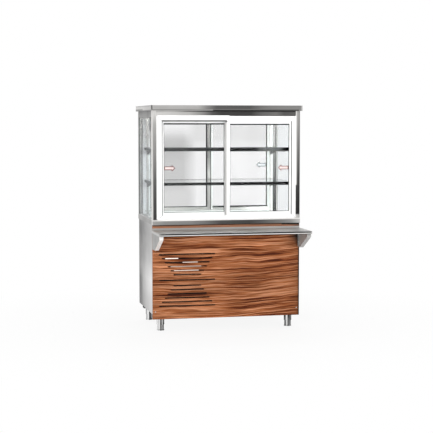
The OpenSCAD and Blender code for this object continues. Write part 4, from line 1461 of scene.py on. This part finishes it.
@dataclass
class Base:
    """The lower cabinet: wood front, steel sides and back, legs and machine."""

    dresser: Dresser
    # The black baffle beside the coil hood, painted shade, from the hood's lowest corner and the side panel.
    baffle_setback: float = 18.0 * MM
    baffle_drop: float = 110.0 * MM
    baffle_rise: float = 12.0 * MM
    baffle_gap: float = 1.0 * MM
    baffle_lap: float = 60.0 * MM
    baffle_sheet: float = 1.0 * MM
    # The filter mat, from the front panel's lowest corner and its back.
    filter_gap: float = 3.0 * MM
    filter_sheet: float = 2.0 * MM
    filter_left: float = 35.0 * MM
    filter_right: float = 520.0 * MM
    filter_bottom: float = 87.0 * MM
    filter_top: float = 330.0 * MM
    # The vent slots as the front panel has them, and the dark strips on their edges.
    slots_per_half: int = 6
    slot_centre: float = -320.0 * MM
    slot_height: float = 8.0 * MM
    slot_short: float = 227.0 * MM
    slot_growth: float = 45.6 * MM
    slot_pitch: float = 32.3 * MM
    slot_middle_pitch: float = 43.5 * MM
    slot_middle_height: float = 406.0 * MM
    edge_band: float = 1.6 * MM
    edge_film: float = 0.2 * MM

    def dress(self) -> None:
        """Finishes the cabinet and everything in it."""
        give = self.dresser.dress
        give("wood_laminate", "front_panel")
        give("panel_steel", "side_panel_left", "side_panel_right", "back_panel", "rear_grille", "base_floor")
        give("leg_steel", "leg_front_left")
        give("leg_steel_shaded", "leg_front_right")
        give("leg_steel_rear", "leg_rear_left", "leg_rear_right")
        give("screw_steel", "screws")
        give("black_lacquer", "leg_rails", "compressor")
        give("hood_sheet", "coil_hood")
        give("fin_aluminium", "condenser_coil", "evaporator")
        give("black_plastic", "fan_shroud", "condenser_fan", "evaporator_fan")
        give("black_plastic", "control_box", "service_fittings")
        give("red_plastic", "power_switch")
        give("copper", "copper_pipe")
        give("insulated_wall", "cold_well")

    def shade_baffle(self) -> None:
        """Adds a black sheet that closes the gap between the coil hood and the left side panel: painted shade
        for what shows through the slots there.
        """
        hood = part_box("coil_hood")[0]
        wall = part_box("side_panel_left")[1].x
        front = hood.y + self.baffle_setback
        low = (wall + self.baffle_gap, front, hood.z - self.baffle_drop)
        high = (hood.x + self.baffle_lap, front + self.baffle_sheet, hood.z + self.baffle_rise)
        self.dresser.bar("shade_baffle", low, high, "black_lacquer", "counter", "pot_black")

    def dust_filter(self) -> None:
        """Adds the dark filter mat behind the lower vent slots of the wood front; its black also stands in
        for the shade inside the cabinet, as painted shade.
        """
        low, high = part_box("front_panel")
        front = high.y + self.filter_gap
        self.dresser.bar(
            "dust_filter",
            (low.x + self.filter_left, front, low.z + self.filter_bottom),
            (low.x + self.filter_right, front + self.filter_sheet, low.z + self.filter_top),
            "seal_rubber",
            "counter",
            "pot_black",
        )

    def slot_edges(self) -> None:
        """Adds a dark strip above and below each vent slot of the wood front, which makes each slot read as a
        wider dark line.
        """
        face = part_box("front_panel")[0].y
        rows = [(0.0, self.slots_per_half - 1)]
        for step in range(self.slots_per_half):
            away = self.slot_middle_pitch + step * self.slot_pitch
            rows += [(-away, step), (away, step)]
        mesh = bmesh.new()
        for away, step in rows:
            half = (self.slot_short + step * self.slot_growth - self.slot_height) / 2
            left, right = self.slot_centre - half, self.slot_centre + half
            for side in (-1.0, 1.0):
                near = self.slot_middle_height + away + side * self.slot_height / 2
                bottom, top = sorted((near, near + side * self.edge_band))
                add_box(mesh, (left, face - self.edge_film, bottom), (right, face, top))
        self.dresser.piece("slot_edges", mesh, "dark_slot_edge", "counter", "wood")


@dataclass
class ServingTop:
    """Worktop, deck, tray slide and its brackets."""

    dresser: Dresser

    def dress(self) -> None:
        """Finishes the worktop and the tray slide."""
        give = self.dresser.dress
        give("worktop_steel", "worktop")
        give("deck_steel", "deck_plate")
        give("slide_steel", "tray_slide")
        give("bracket_steel", "tray_bracket_left", "tray_bracket_right")


@dataclass
class GlassCase:
    """Posts, canopy, side glass and shelves."""

    dresser: Dresser
    # The shelves' metal edge as the solid has it, and the trim along it.
    edge_height: float = 20.0 * MM
    edge_rise: float = 1.0 * MM
    nosing_depth: float = 2.5 * MM
    nosing_height: float = 8.0 * MM
    drip_height: float = 3.5 * MM
    skirt_height: float = 3.0 * MM
    # The strips inside the rear frame.
    strip_width: float = 15.0 * MM
    strip_depth: float = 1.5 * MM
    strip_gap: float = 4.0 * MM
    sill_rise: float = 21.0 * MM
    sill_height: float = 9.5 * MM
    # The fascia's lower lip and the dark strip of painted shadow above the fascia.
    lip_left: float = 20.0 * MM
    lip_right: float = 558.0 * MM
    lip_height: float = 5.0 * MM
    lip_depth: float = 0.5 * MM
    shadow_strip_depth: float = 2.0 * MM
    shadow_strip_height: float = 6.9 * MM

    def dress(self) -> None:
        """Finishes the case."""
        give = self.dresser.dress
        give("canopy_steel", "top_canopy")
        give("fascia_steel", "fascia")
        give("rail_steel", "side_rails")
        give("trim_steel", "shelf_uprights")
        give("arm_steel", "shelf_arms")
        give("edge_trim", "shelf_edges")
        give("post_left_steel", "post_front_left")
        give("post_right_steel", "post_front_right")
        give("post_back_steel", "post_rear_left")
        give("post_rear_steel", "post_rear_right")
        give("white_lacquer", "ceiling_panel")
        give("lamp_diffuser", "light_bar")
        give("spacer_bar", "glass_spacers")
        give("left_glass", "side_glass_left")
        give("right_glass", "side_glass_right")
        give("shelf_glass", "shelf_lower", "shelf_upper")

    def nosings(self) -> None:
        """Adds a trim along the front of each shelf's metal edge, with a skirt below its right half.

        The upper shelf's trim stands on the top of the edge. The lower shelf's hangs below the edge.
        """
        low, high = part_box("shelf_edges")
        back = low.y + self.nosing_depth
        foot = -self.edge_height
        trims = (("lower", foot - self.drip_height, foot), ("upper", 0.0, self.nosing_height))
        for name, start, end in trims:
            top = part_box(f"shelf_{name}")[1].z + self.edge_rise
            skirt = top + min(start, foot)
            mesh = bmesh.new()
            add_box(mesh, (low.x, low.y, top + start), (high.x, back, top + end))
            add_box(mesh, (0.0, low.y, skirt - self.skirt_height), (high.x, back, skirt))
            self.dresser.piece(f"shelf_nosing_{name}", mesh, "edge_trim", "counter", "dark_frame")

    def cover_strip(self) -> None:
        """Adds the steel strip that covers the joint of the rear frame and the right post, on the inside. It
        wears the rear post's painted shade.
        """
        low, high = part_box("rear_frame")
        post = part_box("post_rear_right")[0].x
        self.dresser.bar(
            "cover_strip",
            (post - self.strip_width, low.y - self.strip_depth, low.z + self.strip_gap),
            (post + self.strip_gap, low.y, high.z - self.strip_gap),
            "post_rear_steel",
            "counter",
            "brushed_steel",
        )

    def sill_strip(self) -> None:
        """Adds the steel strip along the sill of the rear frame, on the inside; its sweep is painted shade
        along the sill.
        """
        low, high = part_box("rear_frame")
        end = high.x - self.strip_width
        bottom = low.z + self.sill_rise
        self.dresser.bar(
            "sill_strip",
            (-end, low.y - self.strip_depth, bottom),
            (end, low.y, bottom + self.sill_height),
            "sill_steel",
            "counter",
            "satin_steel",
        )

    def fascia_lip(self) -> None:
        """Adds the fascia's lower lip, which laps over the right half of the front frame."""
        low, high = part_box("front_frame")
        self.dresser.bar(
            "fascia_lip",
            (self.lip_left, low.y - self.lip_depth, high.z - self.lip_height),
            (self.lip_right, low.y, high.z),
            "fascia_steel",
            "counter",
            "brushed_steel",
        )

    def canopy_shadow_strip(self) -> None:
        """Adds a dark strip between the fascia and the canopy: painted shadow under the canopy's overhang."""
        low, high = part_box("fascia")
        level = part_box("top_canopy")[0].z
        self.dresser.bar(
            "canopy_shadow_strip",
            (low.x, low.y - self.shadow_strip_depth, level - self.shadow_strip_height),
            (high.x, low.y, level),
            "shadow_strip_steel",
            "counter",
            "brushed_steel",
        )


@dataclass
class SlidingDoors:
    """The two white frames, their four doors, seals and slide arrows."""

    dresser: Dresser
    # Gaskets of the panes: the one of each door that shows in front, and the one on the far face.
    head_gasket: Margins = Margins(3.5 * MM, 4.5 * MM, 2.5 * MM, 7.0 * MM)
    front_gasket: Margins = Margins(3.5 * MM, 2.5 * MM, 2.5 * MM, 10.0 * MM)
    meeting_gasket: Margins = Margins(3.0 * MM, 16.0 * MM, 3.0 * MM, 6.0 * MM)
    rear_gasket: Margins = Margins(3.0 * MM, 3.5 * MM, 0.6 * MM, 6.0 * MM)
    outer_gasket: Margins = Margins(3.5 * MM, 3.5 * MM, 3.5 * MM, 3.5 * MM)
    gasket_depth: float = 2.0 * MM
    pane_edge: float = 7.0 * MM
    # The bead along the rear right pane.
    bead_width: float = 4.0 * MM
    bead_rubber: float = 8.5 * MM
    bead_depth: float = 3.0 * MM
    # Strips where two doors meet, from the meeting edge of the rear left door.
    meeting_outer: float = 43.0 * MM
    meeting_middle: float = 16.0 * MM
    meeting_inner: float = 9.0 * MM
    grip_width: float = 11.0 * MM
    strip_depth: float = 1.2 * MM
    strip_end: float = 3.0 * MM
    # Rubber and steel below the panes of the rear doors; the steel's sweep is painted shade.
    sill_rubber_left: float = 3.0 * MM
    sill_rubber_right: float = 8.0 * MM
    sill_steel: float = 21.0 * MM
    # The dark strip over the front left door, painted shadow under the frame's head, its hook, and the dark
    # strip of painted shade above that door's pane.
    lip_left: float = 17.5 * MM
    lip_right: float = 28.0 * MM
    lip_rise: float = 9.5 * MM
    lip_height: float = 11.0 * MM
    hook_width: float = 8.0 * MM
    hook_drop: float = 7.0 * MM
    hook_rise: float = 2.0 * MM
    top_height: float = 4.0 * MM
    # Mitre lines, from the frame's corners to its opening as the solid has it.
    mitre_width: float = 1.4 * MM
    line_film: float = 0.2 * MM
    opening_left: float = 523.0 * MM
    opening_right: float = 533.0 * MM
    opening_bottom: float = 917.0 * MM
    opening_top: float = 1662.0 * MM
    # Brush seals, from the grooves of the frame as the solids have them.
    brush_gap: float = 0.2 * MM
    brush_depth: float = 0.8 * MM
    brush_left: float = 9.8 * MM
    brush_right: float = 6.3 * MM
    brush_head: float = 3.5 * MM
    brush_lap: float = 2.0 * MM
    jamb_groove: float = 17.5 * MM
    head_groove: float = 16.0 * MM
    sill_groove: float = 14.0 * MM
    brush_meeting: float = 40.0 * MM
    # Slide arrows.
    arrow_height: float = 1290.0 * MM
    arrow_shift: float = 6.0 * MM
    arrow_length: float = 86.0 * MM
    head_length: float = 28.0 * MM
    head_half: float = 27.0 * MM
    shaft_half: float = 14.0 * MM
    line_width: float = 5.2 * MM
    arrow_film: float = 0.25 * MM

    def dress(self) -> None:
        """Finishes frames, doors, panes and rollers."""
        give = self.dresser.dress
        give("white_profile", "front_frame")
        give("inner_profile", "rear_frame")
        for door in Door:
            give("white_profile" if door.is_front else "inner_profile", f"door_{door.place}")
            give("door_glass" if door.is_front else "rear_glass", f"pane_{door.place}")
            give("roller_nylon", f"rollers_{door.place}")

    def gaskets(self) -> None:
        """Adds the glazing gasket on both faces of each pane."""
        seen = {
            Door.FRONT_LEFT: self.head_gasket,
            Door.FRONT_RIGHT: self.front_gasket,
            Door.REAR_LEFT: self.meeting_gasket,
            Door.REAR_RIGHT: self.rear_gasket,
        }
        inset = self.pane_edge
        for door in Door:
            low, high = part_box(f"pane_{door.place}")
            faces = (
                (low.y - self.gasket_depth, low.y, seen[door]),
                (high.y, high.y + self.gasket_depth, self.outer_gasket),
            )
            mesh = bmesh.new()
            for front, back, widths in faces:
                corners = (low.x + inset, front, low.z + inset), (high.x - inset, back, high.z - inset)
                ring_boxes(mesh, *corners, widths)
            self.dresser.piece(f"gasket_{door.place}", mesh, "seal_rubber", door.value, "black_plastic")

    def bead(self) -> None:
        """Adds the wide glazing bead along the closing edge of the rear right pane, with its rubber."""
        low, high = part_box("pane_rear_right")
        far = high.x - self.pane_edge
        edge = far - self.bead_width
        front, bottom, top = low.y - self.bead_depth, low.z + self.pane_edge, high.z - self.pane_edge
        bead = (edge, front, bottom), (far, low.y, top)
        rubber = (edge - self.bead_rubber, front, bottom), (edge, low.y, top)
        body = Door.REAR_RIGHT.value
        self.dresser.bar("glazing_bead", *bead, "inner_profile", body, "white_profile")
        self.dresser.bar("bead_rubber", *rubber, "seal_rubber", body, "black_plastic")

    def interlocks(self) -> None:
        """Adds the steel strips and the rubber where the two doors of a side meet. The strips' grey is
        painted shade on the stiles.
        """
        low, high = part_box("door_rear_left")
        outer, middle, inner = (
            high.x - away for away in (self.meeting_outer, self.meeting_middle, self.meeting_inner)
        )
        front, bottom, top = low.y - self.strip_depth, low.z + self.strip_end, high.z - self.strip_end
        strip = (outer, front, bottom), (middle, low.y, top)
        rubber = (middle, front, bottom), (inner, low.y, top)
        body = Door.REAR_LEFT.value
        add = self.dresser.bar
        add("meeting_strip", *strip, "meeting_steel", body, "satin_steel")
        add("meeting_rubber", *rubber, "seal_rubber", body, "black_plastic")
        low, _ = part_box("door_front_right")
        grip = (low.x, low.y - self.strip_depth, bottom), (low.x + self.grip_width, low.y, top)
        add("grip_strip", *grip, "grip_steel", Door.FRONT_RIGHT.value, "satin_steel")

    def rear_sills(self) -> None:
        """Adds the rubber and the steel strip below the pane on the inside of each rear door. The steel
        strip's sweep is painted shade.
        """
        add = self.dresser.bar
        depths = {Door.REAR_LEFT: self.sill_rubber_left, Door.REAR_RIGHT: self.sill_rubber_right}
        for door, depth in depths.items():
            low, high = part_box(f"door_{door.place}")
            pane_low, pane_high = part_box(f"pane_{door.place}")
            left, right = pane_low.x + self.pane_edge, pane_high.x - self.pane_edge
            if door is Door.REAR_LEFT:
                right = min(right, high.x - self.meeting_outer)
            front, top = low.y - self.strip_depth, pane_low.z + self.pane_edge
            joint = top - depth
            foot = max(joint - self.sill_steel, low.z + self.strip_end)
            rubber = (left, front, joint), (right, low.y, top)
            steel = (left, front, foot), (right, low.y, joint)
            add(f"sill_rubber_{door.place}", *rubber, "seal_rubber", door.value, "black_plastic")
            add(f"sill_strip_{door.place}", *steel, "sill_steel", door.value, "satin_steel")

    def head_shadow_line(self) -> None:
        """Adds a dark strip over the front left door, hooked down at its meeting end: painted shadow under
        the frame's head.
        """
        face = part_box("front_frame")[0].y
        door_low, door_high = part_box("door_front_left")
        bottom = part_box("pane_front_left")[1].z + self.lip_rise
        top = bottom + self.lip_height
        left, right = door_low.x + self.lip_left, door_high.x - self.lip_right
        outline = [
            (left, bottom),
            (right - self.hook_width, bottom),
            (right, bottom - self.hook_drop),
            (right + self.hook_width, bottom + self.hook_rise),
            (right, top),
            (left, top),
        ]
        mesh = bmesh.new()
        add_prism(mesh, outline, face - self.strip_depth, face)
        self.dresser.piece("head_shadow_line", mesh, "brush_pile", "counter", "black_plastic")

    def top_shade_strip(self) -> None:
        """Adds a dark strip above the pane of the front left door: painted shade under its top rail."""
        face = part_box("door_front_left")[0].y
        low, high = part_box("pane_front_left")
        level = high.z - self.pane_edge
        self.dresser.bar(
            "top_shade_strip",
            (low.x + self.pane_edge, face - self.strip_depth, level),
            (high.x - self.pane_edge, face, level + self.top_height),
            "seal_rubber",
            Door.FRONT_LEFT.value,
            "black_plastic",
        )

    def mitres(self) -> None:
        """Adds the fine joint lines at the four corners of each frame."""
        half = self.mitre_width / 2
        for side in ("front", "rear"):
            low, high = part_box(f"{side}_frame")
            far = low.y if side == "front" else high.y + self.line_film
            near = far - self.line_film
            mesh = bmesh.new()
            for x0, x1 in ((low.x, -self.opening_left), (high.x, self.opening_right)):
                for z0, z1 in ((low.z, self.opening_bottom), (high.z, self.opening_top)):
                    length = math.hypot(x1 - x0, z1 - z0)
                    dx, dz = half * (z0 - z1) / length, half * (x1 - x0) / length
                    outline = [(x0 + dx, z0 + dz), (x0 - dx, z0 - dz), (x1 - dx, z1 - dz), (x1 + dx, z1 + dz)]
                    add_prism(mesh, outline, near, far)
            self.dresser.piece(f"mitre_lines_{side}", mesh, "brush_pile", "counter", "dark_frame")

    def brushes(self) -> None:
        """Adds the brush seals between the frame and the outer face of each closed door."""
        for side, way in (("front", 1.0), ("rear", -1.0)):
            mesh = bmesh.new()
            for door in Door:
                if door.is_front != (side == "front"):
                    continue
                low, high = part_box(f"door_{door.place}")
                near = (low.y if door.is_front else high.y) - way * self.brush_gap
                front, back = sorted((near, near - way * self.brush_depth))
                self.brush_set(mesh, door, (low.x, front, low.z), (high.x, back, high.z))
            self.dresser.piece(f"brush_seal_{side}", mesh, "brush_pile", "counter", "black_plastic")

    def brush_set(self, mesh: bmesh.types.BMesh, door: Door, low: Point, high: Point) -> None:
        """Adds the strip at one door's jamb, and for a left door the one at its head.

        Args:
            mesh: The mesh of all the strips on one side.
            door: The door.
            low: The door's lowest corner, with the strip's front in Y.
            high: The door's highest corner, with the strip's back in Y.
        """
        bottom, top = low[2] + self.sill_groove, high[2] - self.head_groove
        if not door.is_left:
            jamb = high[0] - self.jamb_groove
            add_box(mesh, (jamb - self.brush_right, low[1], bottom), (jamb + self.brush_lap, high[1], top))
            return
        jamb, end = low[0] + self.jamb_groove, high[0] - self.brush_meeting
        add_box(mesh, (jamb - self.brush_lap, low[1], bottom), (jamb + self.brush_left, high[1], top))
        add_box(mesh, (jamb, low[1], top - self.brush_head), (end, high[1], top + self.brush_lap))

    def arrow_outline(self, tip: float, tail: float, inset: float) -> Outline:
        """Gives the outline of a block arrow.

        Args:
            tip: X of the point.
            tail: X of the blunt end.
            inset: How far the outline is drawn in from the full size.

        Returns:
            Seven corners as X and Z.
        """
        way = 1.0 if tip > tail else -1.0
        slant = math.hypot(self.head_length, self.head_half)
        point = tip - way * inset * slant / self.head_half
        neck = tip - way * (self.head_length - inset)
        half = self.head_half * (1.0 - inset * (slant / self.head_half + 1.0) / self.head_length)
        shaft = self.shaft_half - inset
        end = tail + way * inset
        upper = [(neck, half), (neck, shaft), (end, shaft)]
        corners = [*((x, -rise) for x, rise in reversed(upper)), (point, 0.0), *upper]
        return [(x, self.arrow_height + rise) for x, rise in corners]

    def arrows(self) -> None:
        """Sticks an outlined arrow on each pane, pointing the way that the door opens."""
        for door in Door:
            low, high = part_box(f"pane_{door.place}")
            margin = self.pane_edge + self.arrow_shift
            if door is Door.REAR_RIGHT:
                margin += self.bead_width
            tail = low.x + margin if door.is_left else high.x - margin
            tip = tail + (self.arrow_length if door.is_left else -self.arrow_length)
            outer = self.arrow_outline(tip, tail, 0.0)
            inner = self.arrow_outline(tip, tail, self.line_width)
            if door.is_front:
                ink, film, front, back = "red_ink", "pale_film", low.y - self.arrow_film, low.y
            else:
                ink, film, front, back = "grey_ink", "grey_film", high.y, high.y + self.arrow_film
            mesh = bmesh.new()
            add_ring(mesh, outer, inner, front, back)
            self.dresser.piece(f"arrow_line_{door.place}", mesh, ink, door.value, "red_plastic")
            mesh = bmesh.new()
            add_prism(mesh, inner, front, back)
            self.dresser.piece(f"arrow_film_{door.place}", mesh, film, door.value, "red_plastic")


@dataclass(frozen=True)
class Lamp:
    """A round soft lamp: its place and size in metres, and its power in watts."""

    name: str
    place: Point
    size: float
    power: float


@dataclass
class Studio:
    """Floor, lamps, world and the camera at the photograph's place."""

    # The floor's paper, and the distances between which it fades to white.
    floor_size: float = 60.0
    floor_dark: float = 0.9
    floor_pale: float = 0.94
    floor_grain: float = 30.0
    floor_roughness: float = 0.9
    glow_near: float = 0.9
    glow_far: float = 2.6
    least_glow: float = 0.87
    # The world's share of the light, and the lamps with the point that they face.
    ambient: float = 0.68
    aim: Point = (0.0, 0.0, 0.9)
    lamps: tuple[Lamp, ...] = (
        Lamp("key", (-2.6, -5.6, 2.6), 3.4, 150.0),
        Lamp("fill", (2.8, -5.8, 1.5), 3.0, 110.0),
        Lamp("back", (1.5, 4.5, 3.6), 3.0, 60.0),
    )
    # The camera, with its turn in degrees, and its lens and sensor in millimetres.
    camera_place: Point = (-2.1739, -9.7304, 1.6447)
    camera_turn: tuple[float, float, float] = (85.67, 0.0, -12.37)
    lens: float = 102.57
    sensor: float = 36.0
    sight: float = 200.0

    def white_view(self, wiring: Wiring) -> Socket:
        """Adds a mask of the rays that see the white surroundings.

        Args:
            wiring: The wiring of the world or of the floor's material.

        Returns:
            1 for rays of the camera, of gloss and of glass, and 0 for the rest.
        """
        rays = wiring.node("ShaderNodeLightPath")
        seen = wiring.math("ADD", rays.outputs["Is Camera Ray"], rays.outputs["Is Glossy Ray"], clamp=True)
        return wiring.math("ADD", seen, rays.outputs["Is Transmission Ray"], clamp=True)

    def world(self) -> None:
        """Makes the world white to look at and softer as a light."""
        world = bpy.data.worlds.new("studio_world")
        world.use_nodes = True
        wiring = Wiring(world.node_tree)
        background = world.node_tree.nodes["Background"]
        wiring.feed(background.inputs[0], WHITE)
        wiring.feed(background.inputs[1], wiring.between(self.white_view(wiring), self.ambient, 1.0))
        bpy.context.scene.world = world

    def floor(self) -> None:
        """Lays a pale floor that fades to white away from the counter."""
        half = self.floor_size / 2
        corners = ((-half, -half, 0.0), (half, -half, 0.0), (half, half, 0.0), (-half, half, 0.0))
        mesh = bmesh.new()
        mesh.faces.new([mesh.verts.new(corner) for corner in corners])
        data = bpy.data.meshes.new("floor")
        mesh.to_mesh(data)
        mesh.free()
        data.materials.append(self.floor_paper())
        floor = bpy.data.objects.new("floor", data)
        bpy.context.scene.collection.objects.link(floor)

    def floor_paper(self) -> bpy.types.Material:
        """Builds the floor's material.

        Returns:
            The material.
        """
        material, wiring, shader = plain_material("floor_paper")
        place = wiring.place()
        fibre = wiring.noise(place, self.floor_grain)
        paper = wiring.ramp(fibre, [(0.0, grey(self.floor_dark)), (1.0, grey(self.floor_pale))])
        wiring.feed(shader.inputs["Base Color"], paper)
        shader.inputs["Roughness"].default_value = self.floor_roughness
        reach = wiring.node("ShaderNodeVectorMath", operation="LENGTH")
        wiring.feed(reach.inputs[0], place)
        away = wiring.spread(reach.outputs["Value"], self.glow_near, self.glow_far, self.least_glow)
        glow = wiring.node("ShaderNodeEmission")
        wiring.feed(glow.inputs[0], WHITE)
        wiring.show(wiring.math("MULTIPLY", away, self.white_view(wiring)), shader, glow)
        return material

    def light(self) -> None:
        """Hangs the soft lamps, each aimed at the middle of the counter."""
        for lamp in self.lamps:
            data = bpy.data.lights.new(lamp.name, "AREA")
            data.shape = "DISK"
            data.size = lamp.size
            data.energy = lamp.power
            made = bpy.data.objects.new(lamp.name, data)
            made.location = lamp.place
            toward = Vector(self.aim) - Vector(lamp.place)
            made.rotation_euler = toward.to_track_quat("-Z", "Y").to_euler()
            made.visible_glossy = False
            bpy.context.scene.collection.objects.link(made)

    def camera(self) -> None:
        """Sets the camera where the photographer's stood."""
        data = bpy.data.cameras.new("camera")
        data.sensor_width = self.sensor
        data.lens = self.lens
        data.clip_end = self.sight
        made = bpy.data.objects.new("camera", data)
        made.location = self.camera_place
        made.rotation_euler = Euler([math.radians(angle) for angle in self.camera_turn])
        bpy.context.scene.collection.objects.link(made)
        bpy.context.scene.camera = made

    def build(self) -> None:
        """Builds the whole studio."""
        self.world()
        self.floor()
        self.light()
        self.camera()
        bpy.context.scene.view_settings.view_transform = "Standard"


def main() -> None:
    """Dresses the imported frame, adds the small pieces and sets the studio."""
    logging.basicConfig(level=logging.INFO, format="%(name)s: %(message)s")
    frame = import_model()
    dresser = Dresser(frame["nodes"], finish_table())
    Studio().build()
    base = Base(dresser)
    base.dress()
    base.shade_baffle()
    base.dust_filter()
    base.slot_edges()
    ServingTop(dresser).dress()
    case = GlassCase(dresser)
    case.dress()
    case.nosings()
    case.cover_strip()
    case.sill_strip()
    case.fascia_lip()
    case.canopy_shadow_strip()
    doors = SlidingDoors(dresser)
    doors.dress()
    doors.gaskets()
    doors.bead()
    doors.interlocks()
    doors.rear_sills()
    doors.head_shadow_line()
    doors.top_shade_strip()
    doors.mitres()
    doors.brushes()
    doors.arrows()


if __name__ == "__main__":
    main()
